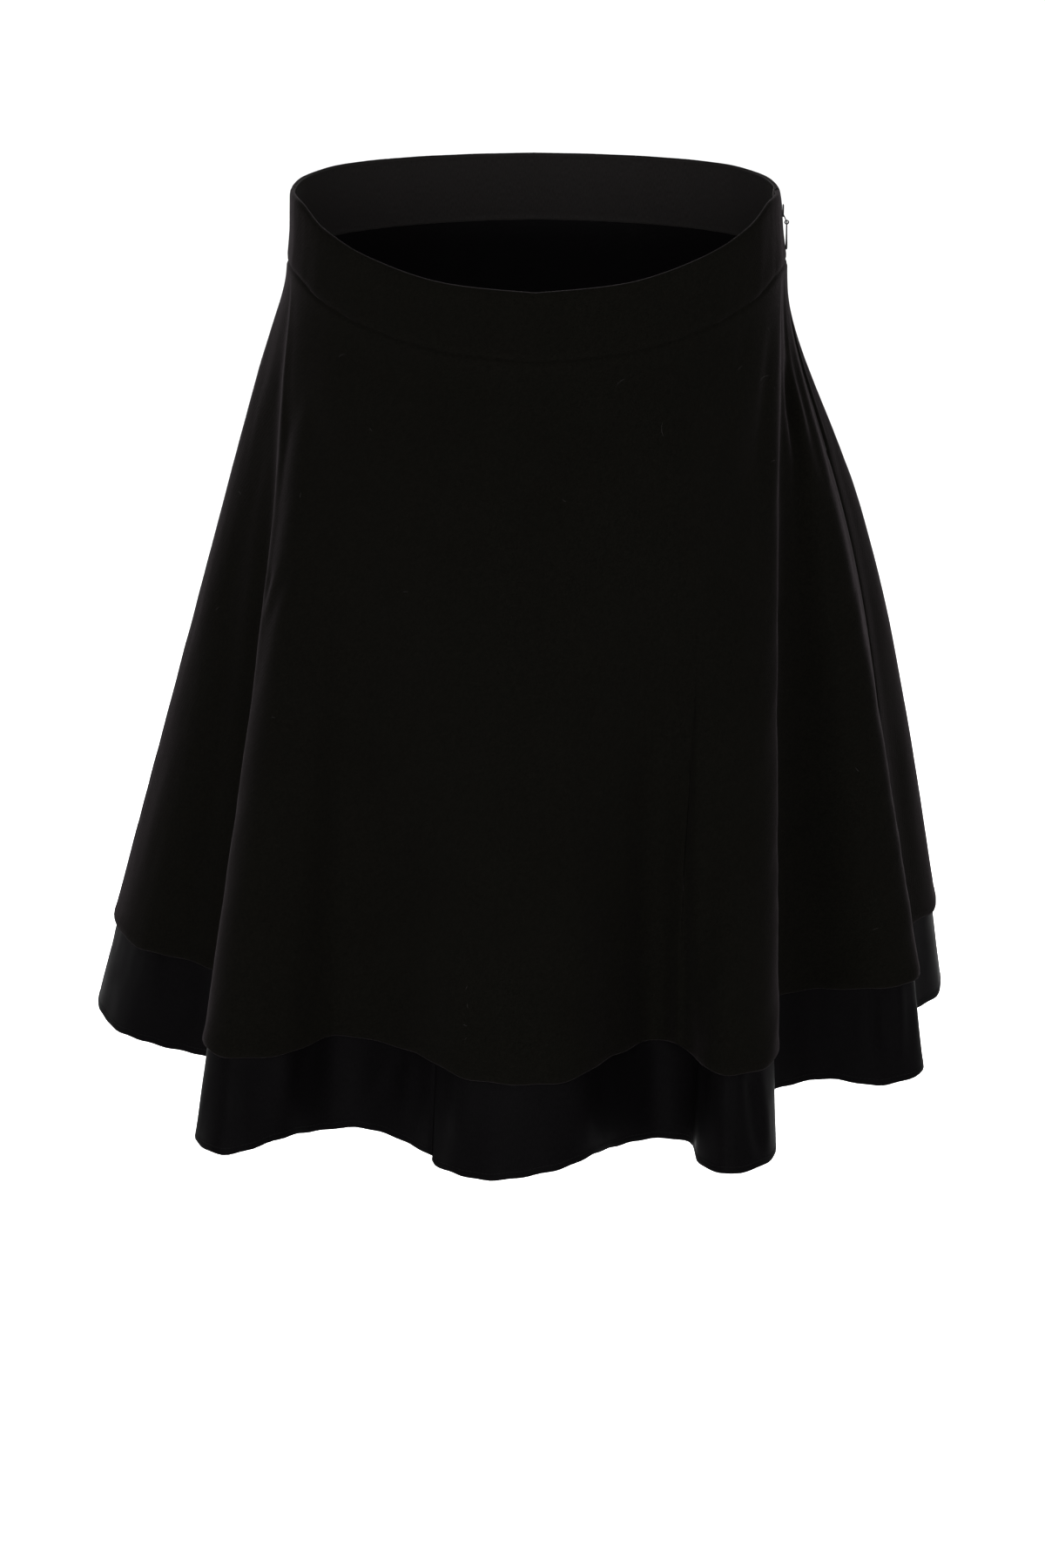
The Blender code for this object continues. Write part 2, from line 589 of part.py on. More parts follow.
def main():
    """Clear the scene and build every piece."""
    for item in list(bpy.data.objects):
        bpy.data.objects.remove(item)
    wool = material("wool", (0.012, 0.011, 0.012), 0.92)
    satin = material("satin", (0.010, 0.010, 0.011), 0.34)
    coil = material("coil", (0.014, 0.014, 0.014), 0.55)
    lacquer = material("lacquer", (0.010, 0.010, 0.010), 0.32, 0.6)
    folds = Folds()
    side = folds.waist[folds.names.index("side_seam")]
    left = folds.waist[folds.names.index("left_tip")]
    build_band("waistband_front", left, side, SEAM_GAP, ZIP_SLOT, wool)
    build_band("waistband_back", side, left + 2 * math.pi, ZIP_SLOT, SEAM_GAP, wool)
    build_wool(folds, wool)
    build_satin(folds, satin)
    build_chain(folds, coil)
    build_slider(folds, lacquer)
    build_pull(folds, lacquer)


main()
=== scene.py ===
"""Looks of the knee-length flared skirt: wool, satin, waistband, zip and sewing as fine meshes on the
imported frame. Metres, Z up, the front faces -Y, the origin is the middle of the waist opening."""
import math

import bmesh
import bpy
import numpy as np
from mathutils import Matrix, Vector

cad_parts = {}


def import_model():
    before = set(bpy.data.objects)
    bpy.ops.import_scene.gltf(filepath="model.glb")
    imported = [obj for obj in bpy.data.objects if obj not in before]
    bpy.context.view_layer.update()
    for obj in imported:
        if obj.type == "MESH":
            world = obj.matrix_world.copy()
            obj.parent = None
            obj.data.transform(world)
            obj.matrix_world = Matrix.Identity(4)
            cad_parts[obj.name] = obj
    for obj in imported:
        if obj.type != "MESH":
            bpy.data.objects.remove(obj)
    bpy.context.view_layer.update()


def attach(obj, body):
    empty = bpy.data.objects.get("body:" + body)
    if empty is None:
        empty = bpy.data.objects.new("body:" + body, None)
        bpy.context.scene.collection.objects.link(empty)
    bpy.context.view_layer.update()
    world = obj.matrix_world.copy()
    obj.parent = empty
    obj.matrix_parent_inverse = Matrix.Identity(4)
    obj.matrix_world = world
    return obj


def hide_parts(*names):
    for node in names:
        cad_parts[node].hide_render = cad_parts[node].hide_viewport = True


# Waistband plan at the rim, the middle and the seam below: half width, half depth, sideways shift.
RIM_HALF_WIDTH, RIM_HALF_DEPTH, RIM_SHIFT = 0.1465, 0.11, -0.0015
MID_HALF_WIDTH, MID_HALF_DEPTH, MID_SHIFT = 0.147, 0.1135, -0.001
SEAM_HALF_WIDTH, SEAM_HALF_DEPTH, SEAM_SHIFT = 0.1495, 0.118, -0.0005
BAND_THICK = 0.003

# Height of the band's rim and of the seam under it, by angle from the middle of the front.
BAND_COLUMNS = ("angle", "rim", "seam")
BAND_HEIGHTS = (
    (0.0, -0.0245, -0.0633),
    (20.0, -0.0205, -0.059),
    (40.0, -0.0095, -0.049),
    (60.0, 0.0055, -0.0358),
    (75.0, 0.018, -0.0248),
    (90.0, 0.0205, -0.0215),
    (105.0, 0.0238, -0.019),
    (130.0, 0.027, -0.0155),
    (180.0, 0.028, -0.0135),
)

# Cloth walls, and how far the satin hangs inside the wool's outer face.
WOOL_THICK = 0.0016
SATIN_THICK = 0.001
SEAM_GAP = 0.0003
SEWN_GAP = 0.00006
SATIN_INSET_TOP = WOOL_THICK + SEAM_GAP
SATIN_INSET = 0.0032
SATIN_INSET_FROM = 0.1
SATIN_INSET_HEM = 0.001

# The wool's hem lies on a tilted plane; the satin runs on below it.
HEM_HEIGHT_AT_SIDES = -0.433
HEM_RISE_FRONT = 0.12
HEM_RISE_BACK = 0.06
SATIN_DROP = 0.0548
SATIN_SWING = 0.6
SATIN_SWING_LEAN = 0.8
WOOL_LENGTH = 0.411
LAP_DROP = 0.0045

# Folds from the left side round the front, the right side and the back, as in the CAD.
FOLD_COLUMNS = ("fold", "waist_deg", "hem_x", "hem_y", "late", "begins", "leaves", "satin_low")
FOLDS = (
    ("left_tip", -93.0, -0.2625, 0.004, 0.96, 0.0, 24, 0.001),
    ("left_face", -86.0, -0.243, -0.044, 1.0, 0.0, 24, 0.0),
    ("left_turn", -80.0, -0.206, -0.068, 1.0, 0.0, 24, 0.0),
    ("left_valley", -76.5, -0.174, -0.098, 1.0, 0.05, 24, 0.0),
    ("left_edge", -73.0, -0.1965, -0.18, 1.0, 0.2, 24, -0.0016),
    ("left_crest", -63.0, -0.18, -0.2045, 0.95, 0.15, 24, -0.0019),
    ("left_shoulder", -51.0, -0.15, -0.199, 0.95, 0.2, 24, -0.0058),
    ("soft_valley", -39.0, -0.117, -0.174, 0.95, 0.25, 24, 0.0006),
    ("soft_rise", -29.0, -0.086, -0.185, 0.95, 0.25, 24, 0.0008),
    ("satin_lap", -20.5, -0.0622, -0.2096, 0.95, 0.25, 24, 0.0024),
    ("middle_shoulder", -14.5, -0.045, -0.229, 0.95, 0.22, 24, 0.0),
    ("middle_crest", -5.0, -0.015, -0.241, 0.95, 0.2, 24, -0.0027),
    ("middle_turn", 6.0, 0.021, -0.232, 0.95, 0.22, 24, -0.0068),
    ("valley_in", 17.0, 0.047, -0.198, 0.95, 0.22, 24, 0.0),
    ("deep_valley", 27.0, 0.071, -0.179, 0.95, 0.2, 24, 0.0059),
    ("valley_out", 36.0, 0.0885, -0.187, 0.95, 0.3, 24, 0.0035),
    ("lobe_edge", 43.0, 0.0925, -0.211, 0.95, 0.35, 24, 0.004),
    ("lobe_crest", 54.0, 0.11, -0.2285, 0.95, 0.3, 24, 0.0),
    ("lobe_turn", 65.0, 0.13, -0.219, 0.95, 0.2, 24, 0.0),
    ("right_edge", 73.0, 0.1405, -0.196, 0.95, 0.12, 24, 0.0),
    ("right_valley", 77.5, 0.136, -0.13, 1.0, 0.0, 24, 0.0),
    ("side_turn", 80.5, 0.164, -0.105, 1.0, 0.0, 12, 0.0),
    ("side_face", 83.0, 0.204, -0.106, 0.95, 0.0, 9, 0.0027),
    ("side_crest", 86.0, 0.23, -0.088, 0.82, 0.0, 7, 0.003),
    ("side_seam", 90.0, 0.224, -0.026, 0.62, 0.0, 6, 0.0),
    ("rear_tip", 96.0, 0.2485, 0.022, 0.56, 0.0, 6, 0.0),
    ("rear_face", 104.0, 0.244, 0.074, 0.7, 0.0, 8, 0.0),
    ("rear_valley", 111.0, 0.207, 0.106, 1.0, 0.0, 12, 0.0),
    ("rear_rise", 118.0, 0.204, 0.152, 0.95, 0.05, 24, 0.0),
    ("rear_crest", 127.0, 0.173, 0.188, 0.95, 0.1, 24, 0.0),
    ("back_turn", 138.0, 0.133, 0.183, 0.95, 0.15, 24, 0.0),
    ("back_valley", 147.0, 0.105, 0.176, 0.95, 0.15, 24, 0.0),
    ("back_rise", 156.0, 0.078, 0.208, 0.95, 0.15, 24, 0.0),
    ("back_crest", 167.0, 0.044, 0.23, 0.95, 0.15, 24, 0.0),
    ("back_shoulder", 178.0, 0.007, 0.218, 0.95, 0.2, 24, 0.0),
    ("tail_valley", 189.0, -0.026, 0.19, 0.95, 0.2, 24, 0.0),
    ("tail_rise", 199.0, -0.059, 0.206, 0.95, 0.2, 24, 0.0),
    ("tail_crest", 209.0, -0.093, 0.228, 0.95, 0.15, 24, 0.0),
    ("tail_turn", 220.0, -0.129, 0.208, 0.95, 0.15, 24, 0.0),
    ("nook_valley", 229.0, -0.148, 0.166, 0.95, 0.1, 24, 0.0),
    ("nook_rise", 237.0, -0.181, 0.156, 0.95, 0.05, 24, 0.0),
    ("nook_crest", 245.0, -0.215, 0.142, 0.95, 0.0, 24, 0.0),
    ("last_valley", 253.0, -0.219, 0.09, 0.95, 0.0, 24, 0.0),
    ("last_rise", 260.0, -0.252, 0.056, 0.95, 0.0, 24, 0.0),
)
OVAL_HALF_WIDTH, OVAL_HALF_DEPTH = 0.235, 0.215
FOLD_POWER = 1.15
ZIP_SLOT, ZIP_END, ZIP_CLOSES_OVER = 0.003, 0.28, 0.012

# Seams: how far along a row its drawing in eases out, the step past a panel's end at which its
# normals are read (share of a lap), and the strip beside a seam where relief dies away.
GAP_EASE = 0.012
NORMAL_STEP = 0.0003
SEAM_CALM = 0.016

# Fineness of the cloth grids: column pitch at the hem, row pitch down the cloth.
WOOL_PITCH, WOOL_ROW_PITCH = 0.0036, 0.004
SATIN_PITCH, SATIN_ROW_PITCH = 0.0038, 0.0026
SATIN_HIDDEN_ROWS = 20
SATIN_SEEN_FROM = 0.9
BAND_PITCH, BAND_ROW_COUNT = 0.002, 18
EDGE_STEPS = 3
WOOL_NEAR_ROWS = (0.0005, 0.0011, 0.0018, 0.0027)
SATIN_NEAR_ROWS = (0.0005, 0.0012, 0.002)
NEAR_COLUMNS = (0.18, 0.36, 0.6)
CLOTH_SHARP_DEG, METAL_SHARP_DEG = 55, 50

# Soft creases of the wool: the fold each lies by, metres along from it and share of the length at
# its start, the same two at its end, half width, depth (negative for a ridge), and the fold that
# its end lies by where that is another one.
FRONT_CREASES = (
    ("side_turn", 0.0, 0.1, 0.004, 0.26, 0.004, -0.0012, "side_face"),
    ("side_turn", -0.004, 0.12, 0.006, 0.3, 0.0045, 0.0014),
    ("side_face", 0.002, 0.13, 0.012, 0.34, 0.005, 0.0012),
    ("left_edge", 0.004, 0.47, 0.004, 0.34, 0.005, 0.0011, "left_crest"),
    ("left_edge", -0.006, 0.46, 0.004, 0.38, 0.004, 0.0009),
    ("left_crest", 0.004, 0.05, 0.014, 0.55, 0.012, 0.001),
    ("soft_valley", 0.004, 0.16, 0.004, 0.8, 0.016, 0.0014),
    ("soft_rise", 0.012, 0.1, 0.002, 0.62, 0.012, -0.0007, "satin_lap"),
    ("middle_crest", -0.006, 0.12, -0.004, 0.9, 0.015, -0.001),
    ("middle_turn", 0.006, 0.2, 0.012, 0.7, 0.011, 0.0007),
    ("lobe_turn", -0.002, 0.1, 0.004, 0.52, 0.01, 0.0009),
    ("right_edge", -0.01, 0.02, -0.016, 0.34, 0.006, 0.0008),
    ("left_face", 0.006, 0.14, 0.012, 0.66, 0.013, 0.0011),
    ("left_turn", 0.004, 0.3, 0.012, 0.88, 0.009, -0.001),
    ("lobe_crest", 0.002, 0.02, 0.001, 0.09, 0.005, 0.0006),
    ("deep_valley", 0.017, 0.4, 0.017, 1.6, 0.013, -0.008),
    ("middle_shoulder", 0.002, 0.01, 0.002, 0.07, 0.006, 0.0005),
    ("soft_valley", -0.008, 0.01, -0.007, 0.08, 0.0055, 0.0005),
)
BACK_CREASES = (
    ("rear_tip", 0.004, 0.05, 0.01, 0.36, 0.006, 0.0012),
    ("rear_face", 0.002, 0.14, 0.012, 0.62, 0.011, 0.0012),
    ("rear_rise", 0.0, 0.1, 0.006, 0.74, 0.012, -0.001),
    ("rear_crest", 0.012, 0.06, 0.006, 0.48, 0.009, 0.001),
    ("back_valley", 0.0, 0.14, -0.003, 0.82, 0.014, 0.0015),
    ("back_crest", -0.008, 0.08, -0.004, 0.58, 0.012, -0.0009),
    ("back_shoulder", 0.006, 0.18, 0.01, 0.7, 0.011, 0.0009),
    ("tail_valley", 0.002, 0.1, 0.0, 0.66, 0.015, 0.0014),
    ("tail_crest", -0.006, 0.05, -0.002, 0.42, 0.01, -0.0009),
    ("tail_turn", 0.006, 0.16, 0.014, 0.8, 0.012, 0.001),
    ("nook_valley", 0.002, 0.06, 0.0, 0.5, 0.01, 0.0013),
    ("nook_crest", -0.004, 0.2, 0.002, 0.76, 0.011, -0.0009),
    ("last_valley", 0.0, 0.08, 0.004, 0.6, 0.009, 0.0011),
    ("back_rise", 0.004, 0.01, 0.004, 0.08, 0.005, 0.0006),
    ("tail_rise", 0.0, 0.01, 0.001, 0.07, 0.006, 0.0005),
)
# How a crease fades at its ends (share of its length), and the low banks beside it.
CREASE_FADE = 0.35
BANK_HEIGHT, BANK_AT, BANK_REACH = 0.3, 1.9, 0.9

# Creases and swells of the satin, mostly where it shows below the wool's hem (share over 1).
LEFT_SATIN_CREASES = (
    ("left_face", 0.01, 0.9, 0.018, 1.12, 0.013, -0.0016),
    ("left_turn", 0.004, 0.92, 0.0, 1.12, 0.011, 0.0018),
    ("left_crest", 0.014, 0.94, 0.018, 1.13, 0.009, 0.0016),
    ("left_shoulder", 0.008, 0.94, 0.006, 1.13, 0.007, -0.0012),
    ("soft_valley", 0.004, 0.9, 0.01, 1.12, 0.014, 0.0018),
    ("soft_rise", 0.006, 0.96, 0.016, 1.11, 0.007, -0.0012),
    ("satin_lap", -0.022, 1.03, -0.012, 1.13, 0.0022, 0.0006),
    ("satin_lap", -0.018, 1.02, -0.007, 1.13, 0.002, 0.0005),
    ("satin_lap", -0.012, 1.05, -0.004, 1.13, 0.0018, 0.0005),
    ("satin_lap", -0.032, 0.99, -0.026, 1.04, 0.004, 0.0009),
)
RIGHT_SATIN_CREASES = (
    ("middle_shoulder", 0.002, 0.94, -0.002, 1.12, 0.008, -0.0011),
    ("middle_crest", -0.006, 0.9, -0.01, 1.1, 0.013, 0.0016),
    ("middle_turn", 0.004, 0.96, 0.01, 1.13, 0.01, -0.0012),
    ("lobe_crest", 0.012, 0.97, 0.004, 1.15, 0.0042, 0.0024, "lobe_turn"),
    ("lobe_crest", -0.004, 0.97, 0.0, 1.14, 0.008, -0.0012),
    ("lobe_edge", 0.003, 0.97, 0.0, 1.1, 0.004, 0.0012),
    ("side_face", 0.004, 0.96, 0.002, 1.1, 0.0055, 0.003),
    ("side_face", 0.016, 0.96, 0.013, 1.14, 0.004, -0.0016),
    ("side_turn", 0.012, 0.96, 0.01, 1.12, 0.01, -0.0012),
    ("side_crest", 0.01, 0.98, 0.008, 1.13, 0.008, 0.0012),
)
BACK_SATIN_CREASES = (
    ("rear_face", 0.0, 0.94, 0.004, 1.12, 0.01, 0.0015),
    ("rear_rise", 0.008, 0.94, 0.004, 1.12, 0.009, -0.0012),
    ("back_turn", 0.002, 0.94, -0.002, 1.13, 0.009, 0.0016),
    ("back_valley", 0.006, 0.92, 0.012, 1.12, 0.012, 0.0015),
    ("back_crest", 0.0, 0.95, 0.004, 1.13, 0.008, -0.0012),
    ("back_shoulder", 0.01, 0.95, 0.004, 1.12, 0.01, 0.0015),
    ("tail_rise", 0.004, 0.93, 0.008, 1.12, 0.008, -0.0011),
    ("tail_turn", -0.006, 0.95, 0.0, 1.13, 0.007, 0.0016),
    ("nook_rise", 0.004, 0.94, 0.0, 1.12, 0.009, 0.0013),
    ("last_valley", 0.006, 0.94, 0.012, 1.12, 0.01, 0.0014),
)
# The faint level line that an edge underneath presses into the front: share, ends, half width, height.
IMPRINT = (0.69, "left_crest", "middle_turn", 0.0022, 0.0004)
IMPRINT_FADE = 0.08

# Slow unevenness of hanging cloth: pitch round the body, pitch down it, height, phase.
WOOL_WAVES = (
    (0.047, 0.21, 0.00028, 0.3),
    (0.029, 0.13, 0.00016, 1.9),
    (0.071, 0.09, 0.00022, 4.1),
    (0.018, 0.061, 0.00007, 2.6),
    (0.011, 0.024, 0.00004, 5.2),
)
SATIN_WAVES = (
    (0.039, 0.16, 0.00035, 1.1),
    (0.023, 0.11, 0.00022, 3.0),
    (0.013, 0.07, 0.0001, 0.4),
)
BAND_WAVES = (
    (0.034, 0.12, 0.0002, 0.8),
    (0.017, 0.06, 0.0001, 2.2),
    (0.009, 0.035, 0.00004, 3.7),
)
# How waves wander and swell down the cloth, and the height under the waist seam where they grow in.
WAVE_WANDER, WAVE_WANDER_PITCH = 0.9, 2.3
WAVE_EVEN, WAVE_UNEVEN = 0.55, 0.45
WOOL_WAVES_OVER = 0.05

# Sewn edges: groove depth and reach, and the allowance that lifts the cloth beside it.
GROOVE_DEPTH, GROOVE_REACH = 0.0012, 0.0012
ALLOWANCE_LIFT, ALLOWANCE_FROM, ALLOWANCE_REACH = 0.00025, 0.0065, 0.004
WOOL_HEM_ROLL, WOOL_HEM_REACH, WOOL_HEM_EXTRA = 0.0004, 0.0028, 0.0006
WOOL_HEM_ALLOWANCE, WOOL_HEM_STEP = 0.03, 0.0015
WAIST_GROOVE_WIDER = 1.4
ZIP_ROLL, ZIP_ROLL_FROM, ZIP_ROLL_FADE = 0.0007, 0.0018, 0.02
SATIN_HEM_WIDTH, SATIN_HEM_EXTRA, SATIN_HEM_STEP = 0.0032, 0.0006, 0.0006
# Relief of the satin's narrow hem: height, share of its width, reach.
SATIN_HEM_RELIEF = (
    (-0.00018, 1.0, 0.0006),
    (0.0001, 0.4, 0.001),
)
# Satin by share of the length: how deep its seams show and from where, where it hangs free of the
# wool, and the lower hem corner at the front seam: share of the panel's width, notch, height.
SATIN_EDGE_SHARE, SATIN_EDGE_FROM, SATIN_EDGE_OVER = 0.5, 0.9, 0.1
SATIN_LOOSE_FROM, SATIN_LOOSE_OVER = 0.985, 0.03
LAP_FADE, LAP_CORNER, LAP_CORNER_REACH, LAP_FROM = 0.45, 0.35, 0.0022, 0.97
# Unevenness of the hems: height, length over 2 pi, phase.
WOOL_HEM_WAVES = (
    (0.0006, 0.063 / (2 * math.pi), 0.0),
    (0.0004, 0.0047, 1.0),
)
SATIN_HEM_WAVES = (
    (0.0005, 0.0083, 0.0),
    (0.0003, 0.0031, 2.0),
)
WOOL_HEM_WAVE_REACH = 0.02

# Waistband: its height, the share of its rounded edge left at the seam, its fullness, the grooves at
# its lower seam, under its rim and at its plain end (depth, reach), and the puckers by the zip.
BAND_HEIGHT, BAND_FOOT = 0.041, 0.3
BAND_FULLNESS = 0.0004
BAND_LOW_GROOVE = (0.0008, 0.0012)
BAND_RIM_GROOVE = (0.0003, 0.001)
BAND_END_GROOVE = (0.0006, 0.0011)
PUCKER_HEIGHT, PUCKER_PITCH, PUCKER_SLANT = 0.00045, 0.0062, 9
PUCKER_REACH, PUCKER_OVER = 0.01, 0.008

# Zip: coil wire, its loops, and the tape they are sewn to.
COIL_PITCH, COIL_WIRE, COIL_WIDE, COIL_DEEP = 0.00105, 0.00019, 0.00052, 0.00036
COIL_APART, COIL_SUNK = 0.0005, 0.0008
COIL_SIDES, COIL_STEPS = 5, 9
CHAIN_TOP_SHORT, CHAIN_END_SHORT = 0.003, 0.001
CHAIN_BAND_POINTS, CHAIN_CLOTH_POINTS, CHAIN_CLOTH_FROM = 30, 60, 0.004
TAPE_COLUMNS = (-1.0, -0.4, 0.4, 1.0)
TAPE_HALF_WIDTH, TAPE_THICK, TAPE_SUNK = 0.00142, 0.0003, 0.0012
PIVOT_OUT, PIVOT_UP = 0.0031, 0.0003

# Pull tab: distance below the pivot, half width, half thickness.
TAB_SECTIONS = (
    (0.001, 0.00045, 0.00032),
    (0.0013, 0.00066, 0.00044),
    (0.0025, 0.00078, 0.00046),
    (0.0045, 0.00092, 0.00047),
    (0.007, 0.0011, 0.0005),
    (0.0095, 0.00134, 0.00056),
    (0.012, 0.00158, 0.00064),
    (0.014, 0.00172, 0.00069),
    (0.0153, 0.00164, 0.00067),
    (0.016, 0.00128, 0.00056),
    (0.0164, 0.0007, 0.00034),
)
TAB_STEPS = 20
RING_RADIUS, RING_WIRE, RING_WIDER = 0.00108, 0.0004, 1.7
RING_STEPS, RING_SIDES = 28, 8

# Slider: height above the origin, half width.
SLIDER_SECTIONS = (
    (0.0035, 0.0008),
    (0.0038, 0.0013),
    (0.0046, 0.0017),
    (0.0062, 0.0019),
    (0.0085, 0.0022),
    (0.01, 0.0021),
    (0.0108, 0.0016),
    (0.0111, 0.0009),
)
SLIDER_PLUMP, SLIDER_WIDEST, SLIDER_OUT, SLIDER_STEPS = 0.00052, 0.0022, 0.00092, 18
# The slider's arms: height above the band's point behind the pivot, and reach outward from it.
ARM_PATH = (
    (0.0046, 0.001),
    (0.0034, 0.0016),
    (0.0018, 0.0024),
    (0.0004, PIVOT_OUT - 0.0001),
    (-0.0004, PIVOT_OUT),
)
ARM_APART, ARM_WIRE, ARM_SIDES = 0.0015, 0.00034, 8
PIN_HALF_LENGTH, PIN_WIRE, PIN_SIDES = 0.0017, 0.00032, 10

# Lint: fold, share of a lap past it, share of the length, turn in degrees, length, curl.
LINT_RADIUS, LINT_PROUD, LINT_STRETCH = 0.00007, 0.0003, 2.4
LINT_TAPER = (0.5, 1.0, 1.0, 1.0, 0.8, 0.4)
LINT_ASIDE, LINT_BELOW = 0.002, 0.01
LINT = (
    ("right_edge", -0.004, 0.015, 20.0, 0.0012, 0.3),
    ("right_edge", 0.0, 0.042, 70.0, 0.0009, -0.4),
    ("lobe_turn", 0.004, 0.06, 140.0, 0.0011, 0.5),
    ("lobe_turn", -0.002, 0.118, 35.0, 0.0026, 0.6),
    ("lobe_crest", 0.001, 0.08, 160.0, 0.0018, -0.5),
    ("right_edge", -0.002, 0.15, 100.0, 0.001, 0.2),
    ("right_edge", -0.006, 0.24, 15.0, 0.0014, 0.4),
    ("lobe_crest", 0.0, 0.31, 80.0, 0.0016, -0.3),
    ("deep_valley", 0.003, 0.13, 125.0, 0.003, 0.7),
    ("valley_in", 0.002, 0.045, 60.0, 0.002, 0.5),
    ("middle_turn", 0.0, 0.2, 150.0, 0.0012, 0.3),
    ("middle_crest", 0.003, 0.62, 20.0, 0.0015, -0.6),
    ("middle_shoulder", 0.002, 0.88, 75.0, 0.001, 0.3),
    ("middle_shoulder", 0.003, 0.905, 110.0, 0.0009, 0.2),
    ("middle_shoulder", 0.001, 0.93, 10.0, 0.0012, 0.3),
    ("middle_shoulder", 0.002, 0.95, 45.0, 0.0008, -0.2),
    ("satin_lap", 0.002, 0.48, 165.0, 0.0013, 0.4),
    ("soft_rise", 0.001, 0.35, 30.0, 0.0015, 0.5),
    ("soft_valley", 0.002, 0.14, 120.0, 0.0011, -0.3),
    ("left_shoulder", 0.001, 0.06, 55.0, 0.0022, 0.6),
    ("left_crest", 0.002, 0.27, 95.0, 0.0012, 0.2),
    ("left_crest", 0.0, 0.56, 25.0, 0.001, 0.4),
    ("left_edge", 0.002, 0.72, 130.0, 0.0011, -0.4),
    ("left_face", 0.003, 0.5, 60.0, 0.0013, 0.3),
    ("left_face", 0.0, 0.33, 15.0, 0.0017, 0.5),
    ("side_face", 0.004, 0.7, 140.0, 0.0012, 0.3),
    ("side_crest", 0.001, 0.43, 80.0, 0.001, -0.5),
    ("side_face", 0.001, 0.92, 35.0, 0.0014, 0.4),
    ("rear_tip", 0.002, 0.24, 70.0, 0.0013, 0.4),
    ("rear_face", 0.001, 0.61, 120.0, 0.0016, -0.3),
    ("rear_crest", 0.0, 0.18, 25.0, 0.0012, 0.5),
    ("back_rise", 0.002, 0.45, 150.0, 0.0021, 0.6),
    ("back_crest", 0.001, 0.09, 60.0, 0.001, 0.2),
    ("back_shoulder", 0.0, 0.77, 95.0, 0.0014, -0.4),
    ("tail_crest", 0.002, 0.36, 40.0, 0.0012, 0.3),
    ("tail_turn", 0.001, 0.84, 115.0, 0.0015, 0.5),
    ("nook_crest", 0.0, 0.22, 75.0, 0.0011, -0.2),
    ("last_rise", 0.001, 0.58, 20.0, 0.0013, 0.4),
)
# Stitches inside the back band by the zip: from angle and share of the band, to angle and share.
HAND_STITCHES = (
    (92.0, 0.08, 94.2, 0.02),
    (93.0, 0.16, 95.6, 0.06),
    (94.6, 0.2, 96.6, 0.12),
    (92.6, 0.28, 93.6, 0.4),
    (96.0, 0.3, 97.0, 0.24),
)
HAND_STITCH_RADIUS, HAND_STITCH_PROUD, HAND_STITCH_RISE = 0.00016, 0.0001, 0.0005

# Machine stitches of the satin's narrow hem.
STITCH_LENGTH, STITCH_PITCH, STITCH_RADIUS = 0.0021, 0.0026, 0.00016
STITCH_PROUD, STITCH_FROM, STITCH_TO = 0.0001, 0.002, 0.004
STITCH_POINTS = (0.0, 0.15, 0.5, 0.85, 1.0)
STITCH_TAPER = (0.4, 0.9, 1.0, 0.9, 0.4)

# Camera of the photograph.
CAMERA_PLACE = (-0.009, -3.0, 0.44)
CAMERA_PITCH_DOWN = 14.7
CAMERA_LENS, CAMERA_SENSOR = 115.7, 36.0
FLOOR_HEIGHT, FLOOR_HALF = -1.03, 30.0

# Light: world strength low and high and where it changes, a high soft sun, and softboxes (place,
# size, watts) in front, beside and behind.
WORLD_LOW, WORLD_HIGH, WORLD_FROM, WORLD_TO = 1.0, 0.25, 0.2, 0.45
SUN_STRENGTH, SUN_SPREAD, SUN_LEAN = 3.0, 60.0, -25.0
LIGHT_AIM = (0.0, 0.0, -0.25)
SOFTBOXES = (
    ("left_softbox", (-1.1, -2.5, 0.5), (1.2, 2.2), 75.0),
    ("right_softbox", (0.9, -2.6, 0.5), (1.2, 2.2), 55.0),
    ("left_side_softbox", (-3.0, 0.2, 0.6), (1.2, 2.2), 22.0),
    ("right_side_softbox", (3.0, 0.2, 0.6), (1.2, 2.2), 36.0),
    ("rear_left_softbox", (-1.0, 2.4, 1.4), (1.4, 1.6), 110.0),
    ("rear_right_softbox", (1.0, 2.4, 1.4), (1.4, 1.6), 75.0),
)

# Tones in linear light, dark and light, and gloss.
WOOL_DARK, WOOL_LIGHT = (0.0009, 0.00085, 0.00068), (0.0023, 0.00215, 0.00172)
WOOL_SHEEN, WOOL_SHEEN_ROUGH, WOOL_SHEEN_TINT = 0.028, 0.3, (1.0, 0.83, 0.93, 1.0)
WOOL_SPECULAR = 0.005
SATIN_DARK, SATIN_LIGHT = (0.0006, 0.0005, 0.0006), (0.0012, 0.0011, 0.0012)
# Facing inside the band: the same black satin with tones several times lighter, which is painted light for
# the light that falls inside the band.
PAINTED_LIT_FACING_DARK, PAINTED_LIT_FACING_LIGHT = (0.0038, 0.0035, 0.0034), (0.0074, 0.0068, 0.0066)
SATIN_SPECULAR = 0.0075
THREAD_DARK, THREAD_LIGHT = (0.0012, 0.0012, 0.0013), (0.004, 0.0038, 0.004)
PALE_DARK, PALE_LIGHT = (0.03, 0.027, 0.028), (0.075, 0.07, 0.07)
LINT_DARK, LINT_LIGHT = (0.01, 0.009, 0.009), (0.026, 0.024, 0.024)
COIL_DARK, COIL_LIGHT = (0.006, 0.006, 0.006), (0.014, 0.014, 0.014)
LACQUER_DARK, LACQUER_WORN = (0.008, 0.008, 0.009), (0.03, 0.029, 0.028)
FLOOR_TONE = (0.93, 0.93, 0.93, 1.0)

